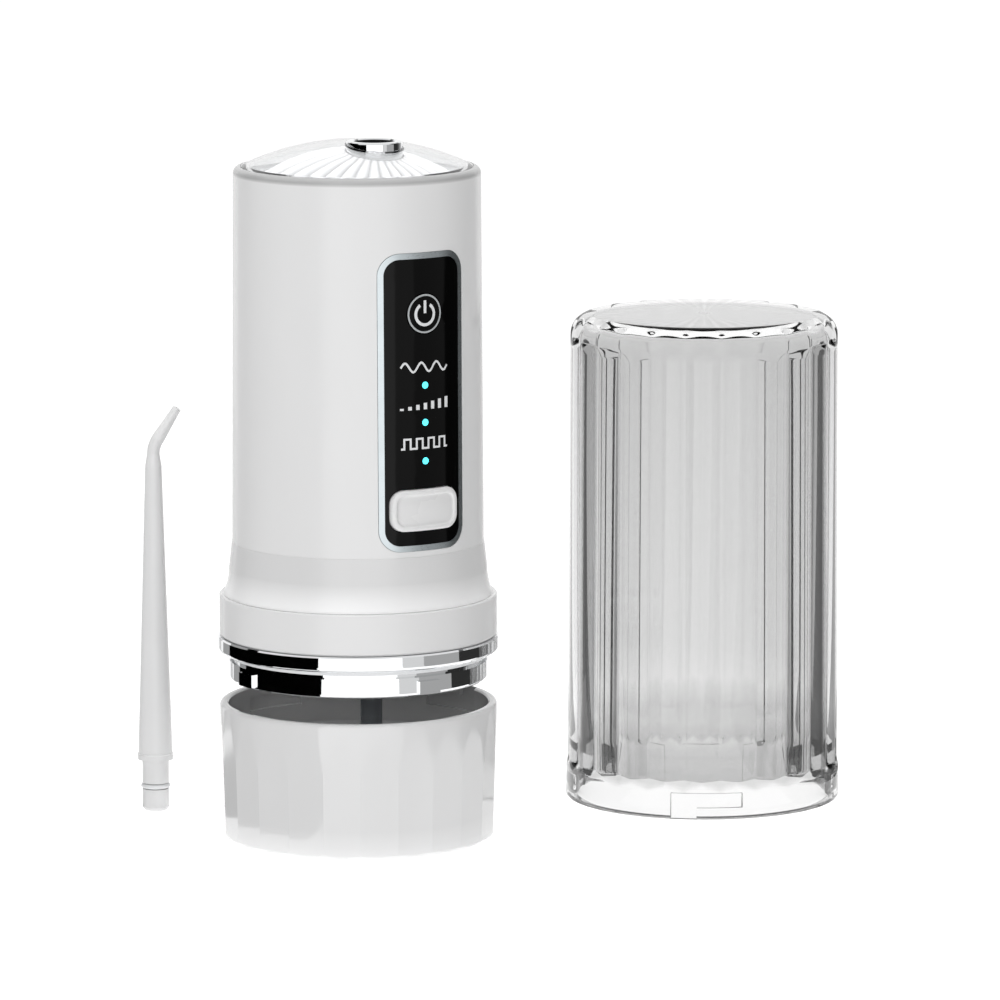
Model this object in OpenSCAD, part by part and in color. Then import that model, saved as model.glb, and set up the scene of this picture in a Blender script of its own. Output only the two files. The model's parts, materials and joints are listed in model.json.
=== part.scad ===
// Travel water flosser: a handle held over its base cup, with its clear cover and jet nozzle beside it.
// Millimetres. Z is up. The origin is the centre of the base cup's foot, and the panel faces -Y.

/* [Base cup] */
// Height of the base cup
cup_h = 29.7; // [26:0.1:40]
// Outer radius of the cup, at its rim
cup_rim_r = 29.05; // [28.9:0.05:31]
// Thickness of the cup's floor
cup_floor = 1.9; // [1.2:0.1:3]
// Rounding of the cup's bottom edge
cup_edge_r = 4; // [1:0.1:5]
// Number of flat facets round the cup
facet_count = 23; // [16:1:30]
// Plain round height left above the facets
facet_drop = 1.2; // [0.8:0.1:4]
// How much closer to the axis a facet is at the cup's foot than at its upper end
facet_lean = 0.82; // [0.3:0.02:0.9]

/* [Bayonet joint] */
// Inner radius of the mouths of the cup and the cover
mouth_r = 27.2; // [26.9:0.05:27.3]
// Radial play between a mouth and the collar ring
mouth_gap = 0.1; // [0.05:0.05:0.3]
// Number of lugs on the collar
lug_count = 4; // [3:1:6]
// Width of a lug
lug_w = 5; // [3:0.1:7]
// Height of a lug
lug_h = 2.75; // [2:0.05:3.2]
// How far a lug stands out of the ring
lug_out = 0.8; // [0.5:0.05:0.85]
// Depth of a seated lug's top below the rim
lug_drop = 2.5; // [2:0.1:3]
// Angle that locks the joint
turn_angle = 20; // [10:1:25]
// Gap between the cup's rim and the collar bead as the handle is held up
lift_gap = 10.7; // [5:0.1:30]

/* [Collar] */
// Radius of the bead
bead_r = 29.4; // [29:0.05:31]
// Height of the bead
bead_h = 3.4; // [2.5:0.1:5]
// Radius of the neck
neck_r = 26.1; // [25.8:0.05:26.5]
// Height of the neck
neck_h = 1.7; // [1.2:0.1:3]
// Height of the ring below the neck
ring_h = 4.1; // [3.8:0.1:6]
// Inner radius of the collar
collar_bore_r = 24.6; // [24.4:0.05:24.8]

/* [Handle shell] */
// Outer radius of the white flange
flange_r = 29.05; // [28.9:0.05:31]
// Height of the white flange
flange_h = 8.8; // [6:0.1:12]
// Outer radius where the shell leaves the flange
shell_foot_r = 28.2; // [27.8:0.05:28.8]
// Height of the concave sweep above the flange
sweep_h = 5.5; // [4:0.1:8]
// Outer radius at the foot of the cone band
band_r = 27; // [26.8:0.05:27.1]
// Height of the cone band
band_h = 5.6; // [4:0.1:7]
// Outer radius at the foot of the long taper
shell_low_r = 26.3; // [26.2:0.05:26.5]
// Outer radius at the top of the long taper
shell_top_r = 25.75; // [25.6:0.05:26.2]
// Height of the shell above the flange
shell_h = 89.6; // [89:0.1:120]
// Inner radius of the shell
shell_bore_r = 24.3; // [24.2:0.05:24.4]
// Height of the rounded rim at the shell's top
rim_h = 1.5; // [1:0.1:3]

/* [Control panel] */
// Half width of the bezel
bezel_hw = 10.24; // [9.8:0.05:10.6]
// Width of the bezel's border
bezel_w = 1.25; // [0.8:0.05:1.4]
// Height of the bezel
bezel_h = 61.7; // [61:0.1:62.4]
// Height of the bezel's lower edge above the cone band
bezel_rise = 1.3; // [1:0.1:2]
// Corner radius of the window
window_corner = 3.3; // [1:0.1:4]
// Radius of the power key
power_r = 4.1; // [3:0.1:5]
// Height of the power key's centre above the bezel's lower edge
power_rise = 49.1; // [46:0.1:54]
// Travel of the power key
power_travel = 0.4; // [0.2:0.05:0.5]
// Half width of the mode button
mode_hw = 8; // [6:0.1:8.2]
// Height of the mode button
mode_h = 8.6; // [7:0.1:10]
// Height of the mode button's centre above the bezel's lower edge
mode_rise = 8.5; // [7.5:0.1:10]
// How far the mode button stands out of the panel
mode_proud = 0.9; // [0.6:0.05:1.2]
// Travel of the mode button
mode_travel = 0.6; // [0.3:0.05:0.6]
// Radius of an indicator lens
led_r = 0.7; // [0.5:0.05:1]
// Heights of the indicator lenses above the bezel's lower edge
led_rises = [18.6, 26.6, 34.3];

/* [Top] */
// Height of the lens dome's apex above the shell's top
lens_rise = 5.5; // [4:0.1:7]
// Wall of the lens
lens_wall = 1.1; // [0.8:0.1:1.4]
// Radius of the sunburst insert's dome
insert_r = 20.5; // [19:0.1:21.5]
// Height of the insert's dome
insert_rise = 6.1; // [5:0.1:6.4]
// Distance of the turret from the axis
turret_y = 6.7; // [6:0.1:8]
// Outer radius of the turret's cap
cap_r = 5.85; // [5.5:0.05:6]
// Radius of the socket for a nozzle's plug
socket_r = 2.95; // [2.9:0.01:3]
// Depth of the socket
socket_depth = 11; // [10.8:0.1:12]

/* [Drive and pump] */
// Gear module
gear_m = 0.5; // [0.45:0.01:0.5]
// Teeth on the pinion
pinion_teeth = 10; // [8:2:10]
// Teeth on the crank gear
crank_teeth = 36; // [32:4:36]
// Distance of the crank pin from the gear's axis
crank_throw = 2; // [1.5:0.1:2]
// Radius of the motor
motor_r = 10.2; // [9:0.1:10.3]
// Length of the motor's can
motor_l = 26; // [20:0.5:27]
// Radius of the battery
battery_r = 7.05; // [6:0.05:7.2]
// Length of the battery
battery_l = 49.4; // [40:0.1:49.6]
// Radius of the plunger rod
rod_r = 2; // [1.5:0.05:2.2]
// Radial running clearance of rods and axles
run_gap = 0.05; // [0.02:0.01:0.08]

/* [Charging port] */
// Height of the charging socket's centre above the crank gear's plate
port_rise = 38; // [37:0.1:40]
// Half width of the port plug
plug_hw = 6.1; // [5.5:0.1:6.5]
// Height of the port plug above its hinge
plug_h = 8.3; // [7.5:0.1:8.5]

/* [Clear cover] */
// Height of the cover
cover_h = 105; // [100:1:140]
// Outer radius of the cover's plain rim
cover_rim_r = 29.6; // [29.2:0.05:31]
// Height of the plain rim
cover_rim_h = 6.5; // [6:0.1:10]
// Radius over the lobes
lobe_r = 29; // [28.8:0.05:29.2]
// Radius at the valleys between the lobes
valley_r = 28.1; // [28:0.05:28.3]
// Number of lobes
lobe_count = 23; // [16:1:30]
// Inner radius above the mouth
cover_bore_r = 26.9; // [26.7:0.05:27]
// Thickness of the cover's top
cover_top = 2.5; // [1.5:0.1:4]
// Rounding of the cover's top edge
cover_edge_r = 4; // [2:0.1:5]
// Place of the cover on the floor
cover_at = [88, 0];
// How far the cover is turned from the handle
cover_turn = -43; // [-180:1:180]

/* [Nozzle] */
// Length of the nozzle's plug
plug_l = 11; // [10:0.1:11]
// Radial play of the plug in its socket
plug_gap = 0.1; // [0.05:0.01:0.15]
// Radius of the nozzle's lip
lip_r = 3.85; // [3.5:0.05:4]
// Radius at the foot of the nozzle's taper
nozzle_foot_r = 3.65; // [3.3:0.05:3.8]
// Height at which the nozzle starts to bend
bend_z = 77; // [60:0.5:90]
// Angle of the bend
bend_angle = 32; // [15:1:60]
// Length of the straight tip after the bend
tip_l = 8; // [5:0.5:12]
// Radius of the tip's end
tip_r = 0.9; // [0.8:0.05:1.2]
// Place of the nozzle on the floor
nozzle_at = [-20, 50];
// Direction that the nozzle's tip points in
nozzle_turn = -32; // [-180:1:180]

/* [Hidden] */
$fn = 96;

// How far a cutter runs past the face it cuts
over = 1;
// Gap between glued or pressed pieces of one body
snug = 0.05;
// Gap round a moving key
key_gap = 0.2;

// Heights of the collar, from the bead down and up
bead_z = cup_h + lift_gap;
neck_z = bead_z - neck_h;
ring_z = neck_z - ring_h;
flange_z = bead_z + bead_h;
shell_z = flange_z + flange_h;
band_z = shell_z + sweep_h;
taper_z = band_z + band_h;
shell_top_z = shell_z + shell_h;
rim_z = shell_top_z - rim_h;
ring_r = mouth_r - mouth_gap;
slot_r = ring_r + lug_out + key_gap;
lug_z = bead_z - lug_drop - lug_h;
spigot_r = neck_r - 0.2;
spigot_h = 4;

// Panel
bezel_z = taper_z + bezel_rise;
window_hw = bezel_hw - bezel_w;
window_h = bezel_h - 2 * bezel_w;
panel_bore_r = shell_bore_r + 0.1;
power_z = bezel_z + power_rise;
mode_z = bezel_z + mode_rise;
mode_corner = window_corner - 0.4;

// Circuit board, behind the panel
board_hw = 9.5;
board_front = -20.9;
board_t = 1.4;
board_back = board_front + board_t;
board_over = 4.9;
board_z = bezel_z - board_over;
board_h = bezel_h + 2 * board_over - 0.5;
board_screw_x = 7;
board_screw_in = 2;
board_screw_zs = [board_z + board_screw_in, board_z + board_h - board_screw_in];
screw_r = 0.8;
switch_w = 5;
switch_t = 1.5;
switch_pin_t = 0.35;
switch_face = board_front - switch_t - switch_pin_t;

// Frame plates
bulkhead_r = collar_bore_r - 0.1;
collar_lip_h = 1.2;
collar_lip_r = 23;
bulkhead_z = ring_z + collar_lip_h;
bulkhead_t = 3;
foot_z = bulkhead_z + bulkhead_t + 2.2;
foot_t = 2.5;
chassis_r = shell_bore_r - 0.2;
chassis_wall = 1.3;
chassis_y = 6;
plate_drop = 60.2;
plate_z = shell_top_z - plate_drop;
plate_t = 2.5;
deck_z = plate_z + plate_t;
tab_t = 0.3;
battery_at = [-10.5, 4];
battery_z = deck_z + tab_t;
top_plate_z = battery_z + battery_l + tab_t + 0.5;
top_plate_t = 1.8;
foot_screw_r = 19;
foot_screw_angles = [30, 150, 270];
foot_boss_r = 3.2;
foot_shank_r = 0.9;

// Gear train
pinion_r = gear_m * pinion_teeth / 2;
crank_gear_r = gear_m * crank_teeth / 2;
gear_y = 4;
motor_x = pinion_r + crank_gear_r;
gear_t = 3.2;
gear_z = plate_z - 1.6 - gear_t;
crank_disc_t = 2.2;
crank_disc_r = 5;
shaft_r = 1;
pin_r = 0.9;
roller_r = 1.5;
motor_screw_y = 6.5;
motor_boss_r = 3;

// Pump, on a level line through the crank
rod_z = plate_z - 10;
yoke_t = 5.4;
yoke_wall = 1.7;
window_x = crank_throw + roller_r + key_gap;
window_y = 2 * crank_throw + roller_r + key_gap;
yoke_hx = window_x + yoke_wall;
yoke_hy = window_y + yoke_wall;
pump_front = -15.2;
pump_back = -6.2;
pump_r = 4.5;
rod_front = pump_front + crank_throw + 0.3;
rod_tail = gear_y + yoke_hy + crank_throw + 6.5;
seal_y = rod_front + 1.4;
block_y = -18.6;
block_hx = 5;
block_h = 14;
block_z = rod_z - block_h / 2;
line_y = -16.9;
port_r = 1.2;
spigot_tube_r = 1.2;
spigot_bore_r = 0.6;
hose_wall = 0.95;
pickup_y = 5;
pickup_r = 2.3;
pickup_low_z = lift_gap + cup_floor + 1.9;

// Turret
turret_top_z = shell_top_z + lens_rise + 0.3;
stem_top_z = turret_top_z - 1;
socket_z = stem_top_z - socket_depth;
stem_r = 4.6;
stem_neck_r = 3.95;
stem_base_z = socket_z - 7;
shoulder_r = 5.6;
shoulder_z = socket_z + 1.2;
shoulder_t = 1.5;
housing_r = 7;
housing_flange_r = 10;
housing_flange_t = 1.5;
housing_floor_z = stem_base_z - 0.2;
housing_floor_t = 1.3;
housing_top_z = shoulder_z + shoulder_t + 2.3;
retainer_z = shoulder_z + shoulder_t + key_gap;
retainer_t = 1.5;
retainer_r = 6.4;
housing_screw_x = 8.4;
turret_hole_r = cap_r + key_gap;
lens_r = shell_bore_r - 0.1;
lens_z = shell_top_z - 3.25;
ledge_t = 1;
ledge_r = 22.8;

// Nozzle
plug_r = socket_r - plug_gap;
ring_groove_z = 4.6;
ring_groove_h = 1.3;
nozzle_neck_r = 1.75;
elbow_r = 1.35;
tip_lip = 0.05;
elbow_bend = 6;
jet_r = 0.45;
tip_bore_r = jet_r - 0.1;

// Charging port
port_z = plate_z + port_rise;
socket_hw = 4.47;
socket_hh = 1.63;
socket_wall = 0.3;
socket_front = 24;
socket_back = 16.9;
recess_floor = 24.2;
plug_axis_y = 24.95;
plug_axis_z = port_z - 3.8;
plug_corner = 2;

// Plan points of an arc about [cx, cy], from angle a0 to a1
function arc(cx, cy, r, a0, a1, n = 10) =
    [for (i = [0:n]) let (a = a0 + (a1 - a0) * i / n) [cx + r * cos(a), cy + r * sin(a)]];
// Radius of the sphere whose cap has this base radius and height
function cap_sphere(r, h) = (r * r + h * h) / (2 * h);
// Outer radius of the long taper at height z
function taper_r(z) = shell_low_r + (shell_top_r - shell_low_r) * (z - taper_z) / (rim_z - taper_z);

module ring(r_out, r_in, h) {
    difference() {
        cylinder(r = r_out, h = h);
        translate([0, 0, -over]) cylinder(r = r_in, h = h + 2 * over);
    }
}

module torus(r, section_r) {
    rotate_extrude() translate([r, 0]) circle(r = section_r, $fn = 32);
}

// Rounded rectangle centred on the origin
module rounded(hw, hh, r) {
    square([2 * hw - 2 * r, 2 * hh], center = true);
    square([2 * hw, 2 * hh - 2 * r], center = true);
    for (x = [-1, 1], y = [-1, 1])
        translate([x * (hw - r), y * (hh - r)]) circle(r = r, $fn = 48);
}

// Rounded plate in the XZ plane, from y0 to y1, centred at height z
module face_plate(hw, hh, r, z, y0, y1) {
    translate([0, y1, z]) rotate([90, 0, 0]) linear_extrude(height = y1 - y0) rounded(hw, hh, r);
}

// Cylinder along Y, from y0 to y1
module y_rod(r, x, z, y0, y1) {
    translate([x, y1, z]) rotate([90, 0, 0]) cylinder(r = r, h = y1 - y0);
}

// Sleeve that follows the shell's taper, from z0 to z1
module taper_skin(z0, z1, r_in, proud) {
    difference() {
        translate([0, 0, z0]) cylinder(r1 = taper_r(z0) + proud, r2 = taper_r(z1) + proud, h = z1 - z0);
        translate([0, 0, z0 - over]) cylinder(r = r_in, h = z1 - z0 + 2 * over);
    }
}

// The part of that sleeve inside a rounded plate on the panel's side
module panel_piece(hw, hh, r, z, r_in, proud) {
    intersection() {
        taper_skin(z - hh - over, z + hh + over, r_in, proud);
        face_plate(hw, hh, r, z, -2 * flange_r, -r_in / 2);
    }
}

// Lugs or grooves: blocks from radius r0 to r1, width w, between two heights
module lug_blocks(r0, r1, w, z0, z1, turn = 0) {
    for (i = [0:lug_count - 1])
        rotate([0, 0, -90 + turn + 360 * i / lug_count])
            intersection() {
                translate([r0, -w / 2, z0]) cube([r1 - r0 + over, w, z1 - z0]);
                translate([0, 0, z0 - over]) cylinder(r = r1, h = z1 - z0 + 2 * over);
            }
}

// L-shaped grooves of a mouth whose rim is at z = 0 and whose inside is above it
module bayonet_grooves() {
    top = lug_drop + lug_h + key_gap;
    lug_half = asin((lug_w / 2 + key_gap) / mouth_r);
    lug_blocks(mouth_r - over, slot_r, lug_w + 2 * key_gap, -over, top);
    for (i = [0:lug_count - 1])
        rotate([0, 0, -90 + 360 * i / lug_count])
            translate([0, 0, lug_drop - key_gap])
                rotate([0, 0, -lug_half])
                    rotate_extrude(angle = turn_angle + 2 * lug_half)
                        translate([mouth_r - over, 0])
                            square([slot_r - mouth_r + over, lug_h + 2 * key_gap]);
}

// Quarter bend of a tube
module quarter(r_out, r_in, bend) {
    rotate_extrude(angle = 90) translate([bend, 0])
        difference() {
            circle(r = r_out, $fn = 48);
            circle(r = r_in, $fn = 48);
        }
}

// Two quarter bends that lead from one upright line to the next, 2 * bend further along Y and Z
module s_tube(r_out, r_in, bend) {
    translate([0, bend, 0]) rotate([90, 0, 90]) rotate([0, 0, 90]) quarter(r_out, r_in, bend);
    translate([0, bend, 2 * bend]) rotate([90, 0, 90]) rotate([0, 0, -90]) quarter(r_out, r_in, bend);
}

// Flat-sided gear with short teeth
module gear_plan(teeth, turn = 0) {
    pitch_r = gear_m * teeth / 2;
    root_r = pitch_r - 0.95 * gear_m;
    tip_r = pitch_r + 0.75 * gear_m;
    foot = 0.95 * gear_m;
    top = 0.42 * gear_m;
    circle(r = root_r);
    for (i = [0:teeth - 1])
        rotate(turn + 360 * i / teeth)
            polygon([[root_r - 0.3, -foot], [tip_r, -top], [tip_r, top], [root_r - 0.3, foot]]);
}

// ---- Base cup and collar ----

module base_cup() {
    facet_z = cup_h - facet_drop;
    facet_tilt = atan(facet_lean / facet_z);
    color("white")
        difference() {
            rotate_extrude()
                polygon(concat([[0, 0]],
                    arc(cup_rim_r - cup_edge_r, cup_edge_r, cup_edge_r, -90, 0),
                    arc(cup_rim_r - 0.9, cup_h - 0.9, 0.9, 0, 90, 6),
                    [[0, cup_h]]));
            for (i = [0:facet_count - 1])
                rotate([0, 0, -90 + 360 * (i + 0.5) / facet_count])
                    translate([cup_rim_r - facet_lean, 0, 0])
                        rotate([0, facet_tilt, 0])
                            translate([0, -cup_rim_r, -over]) cube([cup_rim_r, 2 * cup_rim_r, 2 * cup_h]);
            translate([0, 0, cup_floor + 3]) cylinder(r = mouth_r - 0.8, h = cup_h);
            translate([0, 0, cup_floor]) cylinder(r1 = mouth_r - 3.8, r2 = mouth_r - 0.8, h = 3);
            translate([0, 0, cup_h - 10]) cylinder(r = mouth_r, h = 10 + over);
            translate([0, 0, cup_h]) mirror([0, 0, 1]) bayonet_grooves();
        }
}

module collar_seal() {
    color("gainsboro")
        translate([0, 0, bead_z - 0.85]) ring(ring_r, neck_r + snug, 0.8);
}

module bayonet_collar() {
    bead_edge = 1;
    color("silver") {
        rotate_extrude()
            polygon(concat(
                [[collar_lip_r, ring_z], [ring_r - 1.2, ring_z]],
                arc(ring_r - 0.9, ring_z + 0.9, 0.9, -70, 0, 5),
                [[ring_r, neck_z], [neck_r, neck_z], [neck_r, bead_z], [ring_r + 0.4, bead_z]],
                arc(bead_r - bead_edge, bead_z + bead_edge + 0.1, bead_edge, -80, 0),
                [[bead_r, flange_z - 0.3], [bead_r - 0.3, flange_z],
                    [spigot_r, flange_z], [spigot_r, flange_z + spigot_h],
                    [collar_bore_r, flange_z + spigot_h], [collar_bore_r, bulkhead_z],
                    [collar_lip_r, bulkhead_z]]));
        lug_blocks(ring_r - 0.5, ring_r + lug_out, lug_w, lug_z, lug_z + lug_h);
    }
}

module body_flange() {
    color("white")
        rotate_extrude()
            polygon([[spigot_r + snug, flange_z + snug], [flange_r - 0.5, flange_z + snug],
                [flange_r, flange_z + 0.55], [flange_r, shell_z - 0.25], [flange_r - 0.25, shell_z],
                [spigot_r + snug, shell_z]]);
}

// ---- Handle shell and panel ----

module shell_outline() {
    sweep_d = shell_foot_r - band_r;
    sweep_r = cap_sphere(sweep_h, sweep_d);
    polygon(concat(
        [[0, flange_z + spigot_h + snug], [spigot_r, flange_z + spigot_h + snug], [spigot_r, shell_z + snug]],
        arc(band_r + sweep_r, band_z, sweep_r, 180 + asin((sweep_h - snug) / sweep_r), 180),
        [[shell_low_r + 0.08, taper_z], [shell_low_r, taper_z + 0.05], [shell_top_r, rim_z]],
        arc(shell_top_r - rim_h, rim_z, rim_h, 0, 90, 6),
        [[0, shell_top_z]]));
}

module main_shell() {
    recess_low = plug_axis_z - 1.3;
    recess_high = plug_axis_z + plug_h + key_gap;
    color("white")
        difference() {
            union() {
                difference() {
                    rotate_extrude() shell_outline();
                    translate([0, 0, flange_z]) cylinder(r = shell_bore_r, h = shell_top_z);
                }
                translate([0, 0, lens_z - ledge_t - snug]) ring(shell_bore_r + 0.5, ledge_r, ledge_t);
                for (x = [-1, 1], z = board_screw_zs)
                    intersection() {
                        y_rod(2, x * board_screw_x, z, -shell_bore_r - 1, board_front - snug);
                        translate([0, 0, flange_z]) cylinder(r = shell_bore_r + 1, h = shell_h + flange_h);
                    }
                intersection() {
                    translate([-plug_hw - 1.4, 22.2, recess_low - 1.4])
                        cube([2 * plug_hw + 2.8, 3, recess_high - recess_low + 2.8]);
                    translate([0, 0, flange_z]) cylinder(r = shell_bore_r + 1, h = shell_h + flange_h);
                }
            }
            face_plate(bezel_hw + snug, bezel_h / 2 + snug, window_corner + bezel_w, bezel_z + bezel_h / 2,
                -2 * flange_r, -shell_bore_r / 2);
            for (x = [-1, 1], z = board_screw_zs)
                y_rod(screw_r, x * board_screw_x, z, -23.5, 0);
            face_plate(plug_hw + key_gap, (recess_high - recess_low) / 2, plug_corner + key_gap,
                (recess_high + recess_low) / 2, recess_floor, 2 * flange_r);
            face_plate(socket_hw + 0.12, socket_hh + 0.12, socket_hh, port_z, shell_bore_r / 2, 2 * flange_r);
        }
}

module panel_bezel() {
    mid = bezel_z + bezel_h / 2;
    color("lightsteelblue")
        difference() {
            panel_piece(bezel_hw, bezel_h / 2, window_corner + bezel_w, mid, panel_bore_r, 0.08);
            face_plate(window_hw + snug, window_h / 2 + snug, window_corner, mid, -2 * flange_r, 0);
        }
}

module panel_window() {
    color("black")
        difference() {
            panel_piece(window_hw, window_h / 2, window_corner, bezel_z + bezel_h / 2, panel_bore_r, 0);
            y_rod(power_r + key_gap, 0, power_z, -2 * flange_r, 0);
            face_plate(mode_hw + key_gap, mode_h / 2 + key_gap, mode_corner + key_gap, mode_z,
                -2 * flange_r, 0);
            for (rise = led_rises)
                y_rod(led_r + snug, 0, bezel_z + rise, -2 * flange_r, 0);
        }
}

// Flange behind a key, which keeps it in the window
module key_flange(hw, hh, r, z) {
    intersection() {
        translate([0, 0, z - 2 * hh]) ring(panel_bore_r - 0.1, panel_bore_r - 0.7, 4 * hh);
        face_plate(hw, hh, r, z, -shell_bore_r, -shell_bore_r / 2);
    }
}

module power_key() {
    flange = power_r + 0.6;
    color("dimgray") {
        panel_piece(power_r, power_r, power_r - 0.01, power_z, panel_bore_r - 0.4, 0.05);
        key_flange(flange, flange, flange - 0.01, power_z);
        y_rod(1.2, 0, power_z, -panel_bore_r + 0.3, switch_face - power_travel - snug);
    }
}

module light_pipes() {
    color("cyan")
        for (rise = led_rises)
            intersection() {
                y_rod(led_r, 0, bezel_z + rise, -shell_low_r - 1, board_front - 0.7);
                translate([0, 0, bezel_z]) cylinder(r = taper_r(bezel_z + rise), h = bezel_h);
            }
}

module mode_button() {
    hh = mode_h / 2;
    rim = 1;
    color("whitesmoke")
        difference() {
            union() {
                panel_piece(mode_hw, hh, mode_corner, mode_z, panel_bore_r - 0.4, mode_proud);
                key_flange(mode_hw + 0.5, hh + 0.5, mode_corner, mode_z);
                y_rod(1.5, 0, mode_z, -panel_bore_r + 0.3, switch_face - mode_travel - snug);
            }
            intersection() {
                taper_skin(mode_z - hh, mode_z + hh, taper_r(mode_z) + mode_proud - 0.5, 2 * mode_proud);
                face_plate(mode_hw - rim, hh - rim, mode_corner - rim, mode_z, -2 * flange_r, 0);
            }
        }
}

// ---- Top and turret ----

module top_lens() {
    dome_r = cap_sphere(lens_r, lens_rise);
    dome_z = shell_top_z + lens_rise - dome_r;
    edge = asin(lens_r / dome_r);
    inner_r = lens_r - 1.5;
    inner_dome_r = dome_r - lens_wall;
    inner_edge = asin(inner_r / inner_dome_r);
    color("lightcyan")
        difference() {
            rotate_extrude()
                polygon(concat(
                    [[lens_r, lens_z]],
                    arc(0, dome_z, dome_r, 90 - edge, 90, 12),
                    arc(0, dome_z, inner_dome_r, 90, 90 - inner_edge, 12),
                    [[inner_r, lens_z]]));
            translate([0, -turret_y, lens_z]) cylinder(r = turret_hole_r, h = 2 * lens_rise + 10);
        }
}

module sunburst_insert() {
    wall = 1.3;
    base_z = lens_z + 1;
    dome_r = cap_sphere(insert_r, insert_rise);
    dome_z = base_z + insert_rise - dome_r;
    edge = asin(insert_r / dome_r);
    color("whitesmoke")
        difference() {
            union() {
                rotate_extrude()
                    polygon(concat(
                        arc(0, dome_z, dome_r, 90 - edge, 90, 12),
                        arc(0, dome_z, dome_r - wall, 90, 90 - edge, 12)));
                translate([0, 0, lens_z]) ring(lens_r - 1.6, insert_r - 2.2, 1);
            }
            translate([0, -turret_y, lens_z - over]) cylinder(r = turret_hole_r, h = 20);
        }
}

module turret_stem() {
    groove_z = stem_base_z + 2.4;
    color("black")
        translate([0, -turret_y, 0])
            difference() {
                rotate_extrude()
                    polygon([[0, stem_base_z], [stem_r, stem_base_z], [stem_r, groove_z], [3.7, groove_z],
                        [3.7, groove_z + 1.1], [stem_r, groove_z + 1.1], [stem_r, shoulder_z],
                        [shoulder_r, shoulder_z], [shoulder_r, shoulder_z + shoulder_t],
                        [stem_r, shoulder_z + shoulder_t], [stem_r, housing_top_z + 0.5],
                        [stem_neck_r, housing_top_z + 0.5], [stem_neck_r, stem_top_z], [0, stem_top_z]]);
                translate([0, 0, socket_z]) cylinder(r = socket_r, h = socket_depth + over);
                translate([0, 0, stem_base_z - over]) cylinder(r = 1, h = socket_depth);
            }
}

module turret_cap() {
    cap_z = housing_top_z + 0.9;
    color("silver")
        translate([0, -turret_y, 0])
            rotate_extrude()
                polygon(concat(
                    [[stem_neck_r + snug, cap_z], [cap_r, cap_z]],
                    arc(cap_r - 0.5, turret_top_z - 0.5, 0.5, 0, 90, 5),
                    [[stem_neck_r + 0.6, turret_top_z], [stem_neck_r + snug, stem_top_z + 0.3]]));
}

module turret_o_ring() {
    color("black") translate([0, -turret_y, stem_base_z + 2.95]) torus(4.2, 0.45);
}

module turret_retainer() {
    color("lightgray") translate([0, -turret_y, retainer_z]) ring(retainer_r, stem_r + 0.15, retainer_t);
}

module turret_housing() {
    color("gray")
        translate([0, -turret_y, 0])
            difference() {
                union() {
                    translate([0, 0, housing_floor_z - housing_floor_t])
                        cylinder(r = housing_r, h = housing_top_z - housing_floor_z + housing_floor_t);
                    translate([0, 0, top_plate_z + top_plate_t + snug])
                        cylinder(r = housing_flange_r, h = housing_flange_t);
                    translate([0, 0, housing_floor_z - housing_floor_t - 3.5])
                        cylinder(r = spigot_tube_r, h = 4);
                }
                translate([0, 0, housing_floor_z]) cylinder(r = stem_r + run_gap, h = housing_top_z);
                translate([0, 0, shoulder_z - key_gap]) cylinder(r = shoulder_r + 0.15, h = housing_top_z);
                translate([0, 0, retainer_z]) cylinder(r = retainer_r + snug, h = housing_top_z);
                translate([0, 0, housing_floor_z - 10]) cylinder(r = spigot_bore_r, h = 20);
                for (x = [-1, 1])
                    translate([x * housing_screw_x, 0, top_plate_z]) cylinder(r = screw_r + 0.15, h = 10);
            }
}

module housing_screws() {
    head_z = top_plate_z + top_plate_t + snug + housing_flange_t;
    color("silver")
        for (x = [-1, 1])
            translate([x * housing_screw_x, -turret_y, 0]) {
                translate([0, 0, head_z]) cylinder(r = 1.4, h = 0.9);
                translate([0, 0, top_plate_z + 0.2]) cylinder(r = screw_r, h = head_z - top_plate_z);
            }
}

// ---- Frame ----

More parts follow.
